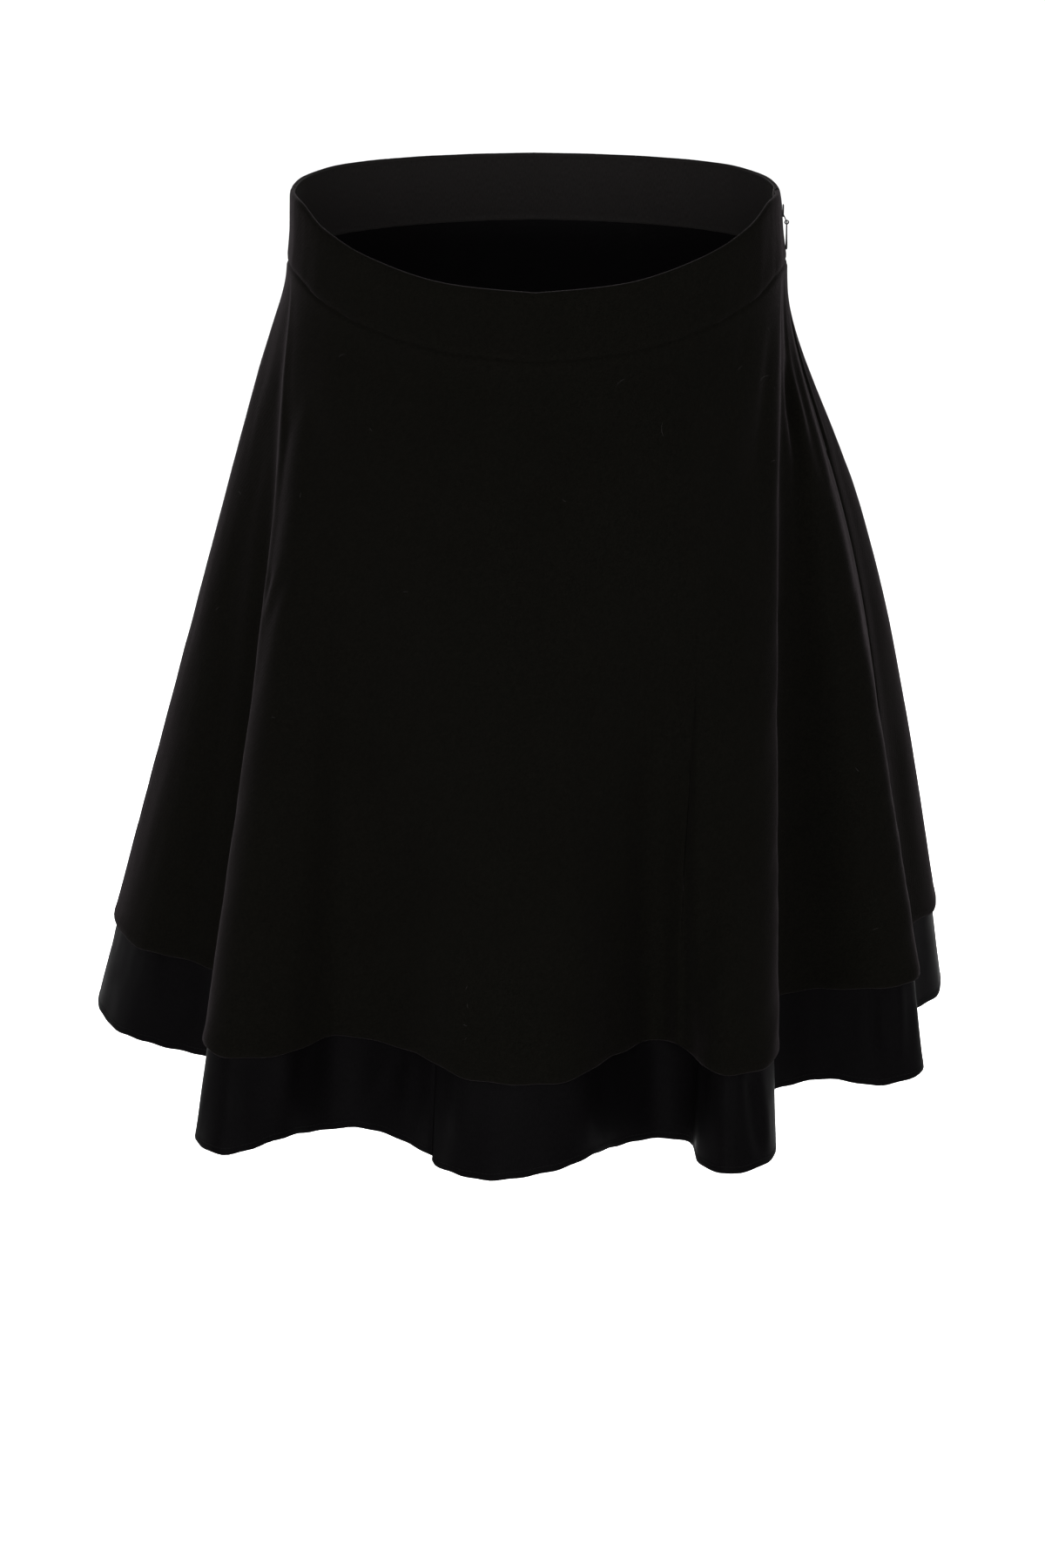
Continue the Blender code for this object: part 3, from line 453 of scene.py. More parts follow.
# Noises: scale, detail, roughness. Bumps: strength, distance. Gloss: roughness low and high.
NAP, FELT, PATCH = (1900.0, 4.0, 0.62), (520.0, 4.0, 0.55), (26.0, 3.0, 0.5)
FLOATS, SLUB, FLOATS_STRETCH = (1.0, 2.0, 0.5), (48.0, 3.0, 0.55), (2600.0, 420.0, 1.0)
TWIST, GRAIN, WEAR = (3200.0, 2.0, 0.5), (2400.0, 3.0, 0.5), (900.0, 5.0, 0.65)
TWILL = {"Scale": 210.0, "Distortion": 1.6, "Detail": 2.0}
WOOL_BUMP, SATIN_BUMP = (0.55, 0.00035), (0.22, 0.00012)
THREAD_BUMP, LACQUER_BUMP = (0.4, 0.00008), (0.15, 0.00005)
WOOL_ROUGH, SATIN_ROUGH = (0.86, 0.98), (0.48, 0.58)
COIL_ROUGH, LACQUER_ROUGH = (0.34, 0.5), (0.26, 0.4)
THREAD_ROUGH, THREAD_SPECULAR, COIL_SPECULAR, LACQUER_SPECULAR = 0.7, 0.02, 0.03, 0.06


def column(table, names, name):
    """One named column of a table as an array."""
    return np.array([row[names.index(name)] for row in table], float)


def between(t, start, leaving, end, arriving):
    """Cubic from start to end by its tangents there."""
    return (
        (1 + 2 * t) * (1 - t) ** 2 * start
        + t * (1 - t) ** 2 * leaving
        + t * t * (3 - 2 * t) * end
        - t * t * (1 - t) * arriving
    )


def smooth(x, y, at):
    """Monotone cubic through (x, y), read at the given places."""
    at = np.asarray(at, float)
    step = np.diff(x)
    slope = np.diff(y) / step
    tangent = np.zeros(len(x))
    tangent[0], tangent[-1] = slope[0], slope[-1]
    same = slope[:-1] * slope[1:] > 0
    mean = 2 * slope[:-1] * slope[1:] / np.where(same, slope[:-1] + slope[1:], 1.0)
    tangent[1:-1] = np.where(same, mean, 0.0)
    i = np.clip(np.searchsorted(x, at, side="right") - 1, 0, len(step) - 1)
    t = (at - x[i]) / step[i]
    return between(t, y[i], step[i] * tangent[i], y[i + 1], step[i] * tangent[i + 1])


def ease(x):
    """From 0 to 1 with level ends."""
    x = np.clip(x, 0.0, 1.0)
    return x * x * (3 - 2 * x)


def hump(distance, reach):
    """Soft round hump of height 1 at distance 0."""
    return np.exp(-((distance / reach) ** 2))


def groove(distance, depth, reach):
    """Soft groove along a sewn line."""
    return -depth * hump(distance, reach)


def unit(vectors):
    """Vectors of length 1."""
    return vectors / np.maximum(np.linalg.norm(vectors, axis=-1, keepdims=True), 1e-12)


def lengths(points):
    """Distance along a run of points from its first."""
    return np.concatenate([[0.0], np.cumsum(np.linalg.norm(np.diff(points, axis=0), axis=1))])


def points_at(at, reach, points):
    """Points of a run at given distances along it."""
    return np.stack([np.interp(at, reach, points[:, k]) for k in range(3)], 1)


def band_height(theta, name):
    """Rim or seam height at an angle round the waist, the same on both sides."""
    deg = np.abs((np.degrees(theta) + 180.0) % 360.0 - 180.0)
    angles = column(BAND_HEIGHTS, BAND_COLUMNS, "angle")
    return smooth(angles, column(BAND_HEIGHTS, BAND_COLUMNS, name), deg)


def band_plan(theta, share):
    """Outer face of the waistband at a share of the way from rim to seam."""
    where = np.array([0.0, 0.5, 1.0])
    half_w = smooth(where, np.array([RIM_HALF_WIDTH, MID_HALF_WIDTH, SEAM_HALF_WIDTH]), share)
    half_d = smooth(where, np.array([RIM_HALF_DEPTH, MID_HALF_DEPTH, SEAM_HALF_DEPTH]), share)
    shift = smooth(where, np.array([RIM_SHIFT, MID_SHIFT, SEAM_SHIFT]), share)
    rim, seam = band_height(theta, "rim"), band_height(theta, "seam")
    z = rim + (seam - rim) * share
    return np.stack([shift + half_w * np.sin(theta), -half_d * np.cos(theta), z + 0 * theta], -1)


class Folds:
    """The cloth's outer face as a function of a place round the hem and a share of the way down."""

    def __init__(self):
        table = {name: column(FOLDS, FOLD_COLUMNS, name) for name in FOLD_COLUMNS[1:]}
        self.names = [row[0] for row in FOLDS]
        self.hem = np.stack([table["hem_x"], table["hem_y"]], 1)
        self.chord = np.linalg.norm(np.roll(self.hem, -1, 0) - self.hem, axis=1)
        self.knot = np.concatenate([[0.0], np.cumsum(np.sqrt(self.chord))])
        self.period = self.knot[-1]
        self.waist = np.radians(table["waist_deg"])
        self.late, self.begins = table["late"], table["begins"]
        self.leaves, self.satin_low = table["leaves"], table["satin_low"]

    def place(self, name):
        """Where a named fold lies round the hem."""
        return self.knot[self.names.index(name)]

    def around(self, values, u, turn=0.0):
        """A closed run of values read at places round the hem; turn is what one lap adds."""
        x = np.concatenate([self.knot[:-1] + lap * self.period for lap in (-1, 0, 1, 2)])
        y = np.concatenate([values + lap * turn for lap in (-1, 0, 1, 2)])
        return smooth(x, y, u)

    def hem_at(self, u):
        """Closed centripetal curve through the folds' places at the hem."""
        n = len(self.hem)
        wrapped = np.mod(u, self.period)
        i = np.clip(np.searchsorted(self.knot, wrapped, side="right") - 1, 0, n - 1)
        k = [(i + j) % n for j in (-1, 0, 1, 2)]
        p0, p1, p2, p3 = (self.hem[j] for j in k)
        d01 = np.sqrt(self.chord[k[0]])[:, None]
        d12 = np.sqrt(self.chord[k[1]])[:, None]
        d23 = np.sqrt(self.chord[k[2]])[:, None]
        m1 = d12 * ((p1 - p0) / d01 - (p2 - p0) / (d01 + d12) + (p2 - p1) / d12)
        m2 = d12 * ((p2 - p1) / d12 - (p3 - p1) / (d12 + d23) + (p3 - p2) / d23)
        t = ((wrapped - self.knot[i]) / (self.knot[i + 1] - self.knot[i]))[:, None]
        return between(t, p1, m1, p2, m2)

    def face(self, u, s):
        """Points of the outer face for arrays of places u at one share s of the length."""
        theta = self.around(self.waist, u, 2 * math.pi)
        hem = self.hem_at(u)
        top_x = SEAM_SHIFT + SEAM_HALF_WIDTH * np.sin(theta)
        top_y = -SEAM_HALF_DEPTH * np.cos(theta)
        top_z = band_height(theta, "seam") - SEAM_GAP
        rise = np.where(hem[:, 1] < 0, HEM_RISE_FRONT, HEM_RISE_BACK)
        low_z = HEM_HEIGHT_AT_SIDES + rise * hem[:, 1]
        across, ahead = hem[:, 0] / OVAL_HALF_WIDTH, hem[:, 1] / OVAL_HALF_DEPTH
        size = np.hypot(across, ahead)
        oval_x, oval_y = hem[:, 0] / size, hem[:, 1] / size
        within = min(s, 1.0)
        beyond = (SATIN_SWING - SATIN_SWING_LEAN * hem[:, 0]) * (s - within)
        left_hip = (1 - (1 - within) ** self.around(self.leaves, u)) ** 2
        swing = left_hip * within ** self.around(self.late, u) + beyond
        begins = self.around(self.begins, u)
        fold = np.clip((within - begins) / (1 - begins), 0, 1) ** FOLD_POWER + beyond
        x = top_x + (oval_x - top_x) * swing + (hem[:, 0] - oval_x) * fold
        y = top_y + (oval_y - top_y) * swing + (hem[:, 1] - oval_y) * fold
        lower = self.around(self.satin_low, u) * min(1.0, (s - within) * WOOL_LENGTH / SATIN_DROP)
        z = top_z + (low_z - top_z) * s - lower
        return np.stack([x, y, z], 1)

    def even_columns(self, first, last, pitch):
        """Places from one fold to another at an even pitch along the hem."""
        start, end = self.place(first), self.place(last)
        if end <= start:
            end += self.period
        dense = np.linspace(start, end, 4000)
        along = lengths(self.hem_at(dense))
        count = int(round(along[-1] / pitch))
        return np.interp(np.linspace(0, along[-1], count + 1), along, dense)


def grid_normals(points):
    """Outward unit normals of a grid of rows down the cloth and columns round it."""
    down = np.gradient(points, axis=0)
    along = np.gradient(points, axis=1)
    return unit(np.cross(down, along))


def row_lengths(points):
    """Distance along each row from its first column."""
    step = np.linalg.norm(np.diff(points, axis=1), axis=2)
    return np.concatenate([np.zeros((len(points), 1)), np.cumsum(step, axis=1)], axis=1)


def column_lengths(points):
    """Distance down each column from its first row."""
    step = np.linalg.norm(np.diff(points, axis=0), axis=2)
    return np.concatenate([np.zeros((1, points.shape[1])), np.cumsum(step, axis=0)], axis=0)


def nearest_lap(folds, name, places):
    """A fold's place, counted in the lap that lies nearest to a panel's middle."""
    middle = (places[0] + places[-1]) / 2
    at = folds.place(name)
    return at + folds.period * round((middle - at) / folds.period)


def along_at(at, places, along):
    """Distance along a row at a place, carried on evenly past the row's ends."""
    pace = along[-1] / (places[-1] - places[0])
    past = min(0.0, at - places[0]) + max(0.0, at - places[-1])
    return np.interp(at, places, along) + pace * past


def crease_relief(folds, places, shares, along, creases):
    """Relief of listed creases: a trough with low banks, or a ridge, fading at its ends."""
    relief = np.zeros(along.shape)
    for first, first_along, first_share, last_along, last_share, half_width, depth, *last in creases:
        ends = [nearest_lap(folds, name, places) for name in (first, *(last or [first]))]
        low, high = min(first_share, last_share), max(first_share, last_share)
        for r, s in enumerate(shares):
            if not low < s < high:
                continue
            t = (s - first_share) / (last_share - first_share)
            start = along_at(ends[0], places, along[r]) + first_along
            stop = along_at(ends[1], places, along[r]) + last_along
            centre = start + (stop - start) * t
            over = CREASE_FADE * (high - low)
            fade = ease((s - low) / over) * ease((high - s) / over)
            off = (along[r] - centre) / half_width
            banks = BANK_HEIGHT * hump(np.abs(off) - BANK_AT, BANK_REACH)
            relief[r] -= depth * fade * (hump(off, 1.0) - banks)
    return relief


def wave_relief(along, down, waves):
    """Slow unevenness as a sum of crossing waves."""
    relief = np.zeros(along.shape)
    for pitch_round, pitch_down, height, phase in waves:
        wander = WAVE_WANDER * np.sin(2 * math.pi * down / (WAVE_WANDER_PITCH * pitch_down) + 2 * phase)
        swell = WAVE_EVEN + WAVE_UNEVEN * np.sin(2 * math.pi * down / pitch_down + phase * phase)
        relief += height * np.sin(2 * math.pi * along / pitch_round + wander + phase) * swell
    return relief


def hem_wave(along, waves):
    """Unevenness of a hem line as a sum of waves."""
    return sum(height * np.sin(along / length + phase) for height, length, phase in waves)


def edge_relief(distance):
    """Groove of a sewn edge with the lift of its allowance beside it."""
    lift = ALLOWANCE_LIFT * hump(distance - ALLOWANCE_FROM, ALLOWANCE_REACH)
    return groove(distance, GROOVE_DEPTH, GROOVE_REACH) + lift


def placed(name, mesh, sharp_deg):
    """Object of a mesh, shaded smooth but for its sharp edges."""
    mesh.shade_smooth()
    mesh.set_sharp_from_angle(angle=math.radians(sharp_deg))
    piece = bpy.data.objects.new(name, mesh)
    bpy.context.scene.collection.objects.link(piece)
    return piece


def half_round(outer, inner, normal, thick, away):
    """Rows that turn round a wall's edge from its outer to its inner face."""
    middle, half, away = (outer + inner) / 2, thick / 2, unit(away)
    run = []
    for k in range(1, EDGE_STEPS + 1):
        angle = math.pi * k / (EDGE_STEPS + 1)
        run.append(middle + half * (math.cos(angle) * normal + math.sin(angle) * away))
    return np.array(run)


def wall_faces(rows, cols, count, inner_material):
    """Faces of a wall whose columns are closed loops of points, with their material slots."""
    faces, slots = [], []
    first_inner = rows + EDGE_STEPS
    for c in range(cols - 1):
        here, there = c * count, (c + 1) * count
        for k in range(count):
            after = (k + 1) % count
            faces.append((here + k, here + after, there + after, there + k))
            slots.append(inner_material if first_inner - 1 <= k < first_inner + rows else 0)
    return faces, slots


def end_faces(base, rows, count, flip):
    """Faces that close a wall's first or last column; flip turns those of the last."""
    first_inner = rows + EDGE_STEPS
    across = first_inner + rows - 1
    faces = [(base + r, base + across - r, base + across - 1 - r, base + r + 1) for r in range(rows - 1)]
    if flip:
        faces = [face[::-1] for face in faces]
    low = tuple(base + k for k in range(rows - 1, first_inner + 1))
    high = (base,) + tuple(base + count - 1 - k for k in range(EDGE_STEPS + 1))
    return faces + ([low, high[::-1]] if flip else [low[::-1], high])


def lay_flat(mesh, outer):
    """UV map in metres of the flat piece: distance from its middle line, and down it."""
    along, down = row_lengths(outer), column_lengths(outer)
    flat = np.stack([along - along[:, -1:] / 2, down], -1)
    low, high = np.repeat(flat[-1:], EDGE_STEPS, 0), np.repeat(flat[:1], EDGE_STEPS, 0)
    per_vertex = np.concatenate([flat, low, flat[::-1], high]).transpose(1, 0, 2).reshape(-1, 2)
    layer = mesh.uv_layers.new(name="weave")
    index = np.empty(len(mesh.loops), int)
    mesh.loops.foreach_get("vertex_index", index)
    layer.data.foreach_set("uv", per_vertex[index].ravel())


def cloth_wall(name, outer, normal, thick, materials, inner_material=0):
    """Closed cloth wall inward from a grid of its outer face, with rounded top and bottom edges."""
    rows, cols = outer.shape[:2]
    thick = np.broadcast_to(np.asarray(thick, float).reshape(-1, 1), (rows, cols))[..., None]
    inner = outer - thick * normal
    bottom = half_round(outer[-1], inner[-1], normal[-1], thick[-1], outer[-1] - outer[-2])
    top = half_round(outer[0], inner[0], normal[0], thick[0], outer[0] - outer[1])[::-1]
    loop = np.concatenate([outer, bottom, inner[::-1], top])
    count = len(loop)
    faces, slots = wall_faces(rows, cols, count, inner_material)
    for base, flip in ((0, False), ((cols - 1) * count, True)):
        ends = end_faces(base, rows, count, flip)
        faces += ends
        slots += [0] * len(ends)
    mesh = bpy.data.meshes.new(name)
    mesh.from_pydata(loop.transpose(1, 0, 2).reshape(-1, 3).tolist(), [], faces)
    for material in materials:
        mesh.materials.append(material)
    mesh.polygons.foreach_set("material_index", slots)
    lay_flat(mesh, outer)
    return placed(name, mesh, CLOTH_SHARP_DEG)


def plain_gap(s):
    """A sewn seam, drawn tight."""
    return SEWN_GAP


def zip_gap(s):
    """The side seam: open for the zip above, sewn below it."""
    return ZIP_SLOT - (ZIP_SLOT - SEWN_GAP) * float(ease((s - ZIP_END) / ZIP_CLOSES_OVER))


def drawn_in(points, start_gap, end_gap):
    """A row of points with both ends drawn in by half of their gaps, easing out along the row."""
    along = lengths(points)
    start = start_gap / 2 * np.clip(1 - along / GAP_EASE, 0, 1)
    end = end_gap / 2 * np.clip(1 - (along[-1] - along) / GAP_EASE, 0, 1)
    return points_at(along + start - end, along, points)


def surface_grid(folds, places, shares, start_gap, end_gap):
    """Outer face with its edges drawn in by half of each gap, and normals that agree across seams."""
    past = folds.period * NORMAL_STEP
    wider = np.concatenate([[places[0] - past], places, [places[-1] + past]])
    whole = np.array([folds.face(wider, s) for s in shares])
    normal = grid_normals(whole)[:, 1:-1]
    base = [drawn_in(row, start_gap(s), end_gap(s)) for row, s in zip(whole[:, 1:-1], shares)]
    return np.array(base), normal


def damped(relief, along, from_end):
    """Relief that dies away towards the two sewn edges, so that neighbours meet."""
    return relief * ease(along / SEAM_CALM) * ease(from_end / SEAM_CALM)


def fine_shares():
    """Shares of the wool's length at an even pitch, with closer rows beside both sewn edges."""
    count = int(round(WOOL_LENGTH / WOOL_ROW_PITCH))
    near = np.array(WOOL_NEAR_ROWS) / WOOL_LENGTH
    return np.unique(np.round(np.concatenate([np.linspace(0, 1.0, count + 1), near, 1.0 - near]), 6))


def fine_places(folds, first, last, pitch):
    """Places at an even pitch with closer columns beside both ends."""
    places = folds.even_columns(first, last, pitch)
    step = np.diff(places)
    near = np.array(NEAR_COLUMNS)
    return np.unique(np.concatenate([places, places[0] + step[0] * near, places[-1] - step[-1] * near]))


def imprint_relief(folds, places, shares):
    """Faint level line across the front."""
    share, left, right, half_width, height = IMPRINT
    from_left = ease((places - folds.place(left)) / IMPRINT_FADE)
    inside = from_left * ease((folds.place(right) - places) / IMPRINT_FADE)
    line = hump((shares - share) * WOOL_LENGTH, half_width)
    return height * line[:, None] * inside[None, :]


def wool_panel(folds, name, first, last, gaps, creases, mats):
    """Outer layer panel with its creases, seams, rolled hem and allowance."""
    shares = fine_shares()
    places = fine_places(folds, first, last, WOOL_PITCH)
    base, normal = surface_grid(folds, places, shares, *gaps)
    along, down = row_lengths(base), column_lengths(base)
    from_end = along[:, -1:] - along
    to_hem = down[-1:] - down
    relief = wave_relief(along, down, WOOL_WAVES) * ease(down / WOOL_WAVES_OVER)
    relief += crease_relief(folds, places, shares, along, creases)
    relief = damped(relief, along, from_end)
    relief += edge_relief(along) + edge_relief(from_end)
    relief += groove(down, GROOVE_DEPTH, WAIST_GROOVE_WIDER * GROOVE_REACH)
    relief += WOOL_HEM_ROLL * hump(to_hem - WOOL_HEM_REACH, WOOL_HEM_REACH)
    by_zip = from_end if name.startswith("front") else along
    beside_zip = ease((ZIP_END - shares) / ZIP_ROLL_FADE)[:, None]
    relief += ZIP_ROLL * hump(by_zip - ZIP_ROLL_FROM, ZIP_ROLL_FROM) * beside_zip
    if name.startswith("front"):
        relief += imprint_relief(folds, places, shares)
    outer = base + relief[..., None] * normal
    outer[..., 2] += hem_wave(along[-1], WOOL_HEM_WAVES)[None, :] * np.exp(-to_hem / WOOL_HEM_WAVE_REACH)
    level = np.mean(to_hem, axis=1)
    thick = WOOL_THICK + WOOL_HEM_EXTRA * ease((WOOL_HEM_ALLOWANCE - level) / WOOL_HEM_STEP)
    piece = cloth_wall(name + "_wool", outer, normal, thick, mats)
    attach(piece, "skirt")
    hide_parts(name)
    return piece


def satin_inset(s):
    """The satin hangs close to the wool at the waist seam, further in below, and free at its hem."""
    share = min(1.0, s / SATIN_INSET_FROM)
    free = min(1.0, max(0.0, (s - 1.0) * WOOL_LENGTH / SATIN_DROP))
    hung = SATIN_INSET_TOP + (SATIN_INSET - SATIN_INSET_TOP) * share
    return hung + (SATIN_INSET_HEM - SATIN_INSET) * free


def satin_shares(end):
    """Shares of the satin's length: few rows where it is hidden, close ones where it shows."""
    seen_rows = int(round((end - SATIN_SEEN_FROM) * WOOL_LENGTH / SATIN_ROW_PITCH))
    return np.unique(np.concatenate([
        np.linspace(0, SATIN_SEEN_FROM, SATIN_HIDDEN_ROWS, endpoint=False),
        np.linspace(SATIN_SEEN_FROM, end, seen_rows + 1),
        end - np.array(SATIN_NEAR_ROWS) / WOOL_LENGTH,
    ]))


def satin_panel(folds, name, first, last, creases, wool_creases, mats, drop_start=0.0):
    """Longer layer's panel; drop_start lets its hem hang lower at its first edge."""
    end = 1 + SATIN_DROP / WOOL_LENGTH
    shares = satin_shares(end)
    places = fine_places(folds, first, last, SATIN_PITCH)
    face, normal = surface_grid(folds, places, shares, plain_gap, plain_gap)
    inset = np.array([satin_inset(s) for s in shares])[:, None]
    base = face - inset[..., None] * normal
    along, down = row_lengths(base), column_lengths(base)
    from_end = along[:, -1:] - along
    to_hem = down[-1:] - down
    loose = ease((shares - SATIN_LOOSE_FROM) / SATIN_LOOSE_OVER)[:, None]
    relief = wave_relief(along, down, SATIN_WAVES) * loose
    relief += crease_relief(folds, places, shares, along, creases) * loose
    relief += crease_relief(folds, places, shares, along, wool_creases) * (1 - loose)
    relief = damped(relief, along, from_end)
    seen = ease((shares - SATIN_EDGE_FROM) / SATIN_EDGE_OVER)[:, None]
    relief += SATIN_EDGE_SHARE * (edge_relief(along) + edge_relief(from_end)) * seen
    for height, share, reach in SATIN_HEM_RELIEF:
        relief += height * hump(to_hem - share * SATIN_HEM_WIDTH, reach)
    outer = base + relief[..., None] * normal
    fade = 1 - ease(along[-1] / (LAP_FADE * along[-1, -1]))
    corner = 1 - LAP_CORNER * hump(along[-1], LAP_CORNER_REACH)
    lower = drop_start * fade * corner - hem_wave(along[-1], SATIN_HEM_WAVES)
    outer[..., 2] -= lower[None, :] * ease((shares - LAP_FROM) / (end - LAP_FROM))[:, None]
    level = np.mean(to_hem, axis=1)
    thick = SATIN_THICK + SATIN_HEM_EXTRA * ease((SATIN_HEM_WIDTH - level) / SATIN_HEM_STEP)
    piece = cloth_wall(name + "_satin", outer, normal, thick, mats)
    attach(piece, "skirt")
    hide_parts(name)
    return piece, outer


def waistband(name, start_deg, end_deg, start_gap, end_gap, mats):
    """Half of the band: a doubled strip, full between its seams, faced with satin inside."""
    start, end = math.radians(start_deg), math.radians(end_deg)
    count = int(round((end - start) * SEAM_HALF_WIDTH / BAND_PITCH))
    drawn = start_gap / 2 / SEAM_HALF_DEPTH, end_gap / 2 / SEAM_HALF_DEPTH
    theta = np.linspace(start + drawn[0], end - drawn[1], count + 1)
    shares = 0.5 - 0.5 * np.cos(np.linspace(0, math.pi, BAND_ROW_COUNT))
    round_edge = BAND_THICK / 2 / BAND_HEIGHT
    shares = round_edge + shares * (1 - round_edge - BAND_FOOT * round_edge)
    step = theta[1] - theta[0]
    wider = np.concatenate([[theta[0] - step], theta, [theta[-1] + step]])
    whole = np.array([band_plan(wider, s) for s in shares])
    base, normal = whole[:, 1:-1], grid_normals(whole)[:, 1:-1]
    along, down = row_lengths(base), column_lengths(base)
    from_end = along[:, -1:] - along
    relief = damped(wave_relief(along, down, BAND_WAVES), along, from_end)
    relief += BAND_FULLNESS * np.sin(math.pi * np.clip(down / down[-1:], 0, 1))
    relief += groove(down[-1:] - down, *BAND_LOW_GROOVE) + groove(down, *BAND_RIM_GROOVE)
    near_zip, plain_end = (along, from_end) if start_gap > end_gap else (from_end, along)
    puckers = np.sin(2 * math.pi * near_zip / PUCKER_PITCH + PUCKER_SLANT * down)
    puckers = puckers * np.exp(-near_zip / PUCKER_REACH)
    relief += PUCKER_HEIGHT * puckers * ease(down / PUCKER_OVER)
    relief += groove(plain_end, *BAND_END_GROOVE)
    outer = base + relief[..., None] * normal
    piece = cloth_wall(name + "_wool", outer, normal, BAND_THICK, mats, inner_material=1)
    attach(piece, "skirt")
    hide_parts(name)
    return piece


def zip_line(folds):
    """Points down the middle of the zip from its top, and the ways across and out there."""
    theta = np.array([folds.waist[folds.names.index("side_seam")]])
    around = np.array([folds.place("side_seam")])
    points = [band_plan(theta, share)[0] for share in np.linspace(0, 1, CHAIN_BAND_POINTS)]
    shares = np.linspace(CHAIN_CLOTH_FROM, ZIP_END, CHAIN_CLOTH_POINTS)
    points = np.array(points + [folds.face(around, s)[0] for s in shares])
    reach = lengths(points)
    at = np.arange(CHAIN_TOP_SHORT, reach[-1] - CHAIN_END_SHORT, COIL_PITCH / COIL_STEPS)
    line = points_at(at, reach, points)
    down = unit(np.gradient(line, axis=0))
    side = np.array([0.0, 1.0, 0.0])
    side = unit(side - (down @ side)[:, None] * down)
    out = unit(np.cross(side, -down))
    return line, side, out


def ring_faces(rings, sides):
    """Faces between rings of points, and one over each end."""
    faces = []
    for r in range(rings - 1):
        for k in range(sides):
            a, b = r * sides + k, r * sides + (k + 1) % sides
            faces.append((a, b, b + sides, a + sides))
    last = (rings - 1) * sides
    return faces + [tuple(range(sides))[::-1], tuple(range(last, last + sides))]


def tube(path, radius, sides):
    """Vertices and faces of a round wire along a path of points, with closed ends."""
    path = np.asarray(path, float)
    tangent = unit(np.gradient(path, axis=0))
    guide = np.array([0.31, 0.52, 0.79])
    first = unit(np.cross(tangent, guide))
    second = np.cross(tangent, first)
    angle = np.arange(sides) * 2 * math.pi / sides
    ring = first[:, None] * np.cos(angle)[:, None] + second[:, None] * np.sin(angle)[:, None]
    radius = np.broadcast_to(np.asarray(radius, float).reshape(-1, 1, 1), (len(path), 1, 1))
    vertices = (path[:, None] + radius * ring).reshape(-1, 3)
    return vertices, ring_faces(len(path), sides)


def joined(name, parts, material):
    """One smooth mesh object from several vertex and face lists."""
    vertices, faces, offset = [], [], 0
    for part_vertices, part_faces in parts:
        vertices.append(part_vertices)
        faces += [tuple(k + offset for k in face) for face in part_faces]
        offset += len(part_vertices)
    mesh = bpy.data.meshes.new(name)
    mesh.from_pydata(np.concatenate(vertices).tolist(), [], faces)
    shape = bmesh.new()
    shape.from_mesh(mesh)
    bmesh.ops.recalc_face_normals(shape, faces=shape.faces)
    shape.to_mesh(mesh)
    shape.free()
    mesh.materials.append(material)
    return placed(name, mesh, METAL_SHARP_DEG)


def zip_coils(folds, coil, tape):
    """Two rows of closed coils sewn to a tape that shows between the cloth's edges."""
    line, side, out = zip_line(folds)
    turn = np.arange(len(line)) * 2 * math.pi / COIL_STEPS
    parts = []
    for hand in (-1, 1):
        across = hand * COIL_APART + hand * COIL_WIDE * np.cos(turn + (0 if hand > 0 else math.pi))
        deep = -COIL_SUNK + COIL_DEEP * np.sin(turn)
        path = line + across[:, None] * side + deep[:, None] * out
        parts.append(tube(path, COIL_WIRE, COIL_SIDES))
    piece = joined("zip_coils", parts, coil)
    every = slice(None, None, COIL_STEPS * 2)
    middle = line[every] - TAPE_SUNK * out[every]
    grid = np.stack([middle + k * TAPE_HALF_WIDTH * side[every] for k in TAPE_COLUMNS], 1)
    normal = np.repeat(out[every][:, None], len(TAPE_COLUMNS), 1)
    back = cloth_wall("zip_tape", grid, normal, TAPE_THICK, [tape])
    for item in (piece, back):
        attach(item, "skirt")
    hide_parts("zip_chain")


def zip_pivot():
    """Point of the band behind the pull's pivot, and the ways out, up and along the band there."""
    theta = np.array([math.pi / 2])
    rim, seam = band_height(theta, "rim")[0], band_height(theta, "seam")[0]
    share = (rim - PIVOT_UP) / (rim - seam)
    base = band_plan(theta, share)[0]
    out = np.array([1.0, 0.0, 0.0])
    up = np.array([0.0, 0.0, 1.0])
    along = np.array([0.0, 1.0, 0.0])
    return base, out, up, along


def lofted(sections, steps):
    """Closed body through oval sections (centre, two half axes)."""
    angle = np.arange(steps) * 2 * math.pi / steps
    rings = [
        centre + np.cos(angle)[:, None] * first + np.sin(angle)[:, None] * second
        for centre, first, second in sections
    ]
    return np.concatenate(rings), ring_faces(len(rings), steps)


def pull_ring(pivot, out, up, along):
    """Vertices and faces of the flat ring round the pin."""
    vertices, faces = [], []
    for a in np.linspace(0, 2 * math.pi, RING_STEPS + 1)[:-1]:
        spoke = math.cos(a) * out + math.sin(a) * up
        for k in range(RING_SIDES):
            b = 2 * math.pi * k / RING_SIDES
            reach = RING_RADIUS + RING_WIRE * math.cos(b)
            vertices.append(pivot + reach * spoke + RING_WIDER * RING_WIRE * math.sin(b) * along)
    for i in range(RING_STEPS):
        for k in range(RING_SIDES):
            a, b = i * RING_SIDES + k, i * RING_SIDES + (k + 1) % RING_SIDES
            c = (i + 1) % RING_STEPS * RING_SIDES
            faces.append((a, b, c + (k + 1) % RING_SIDES, c + k))
    return np.array(vertices), faces


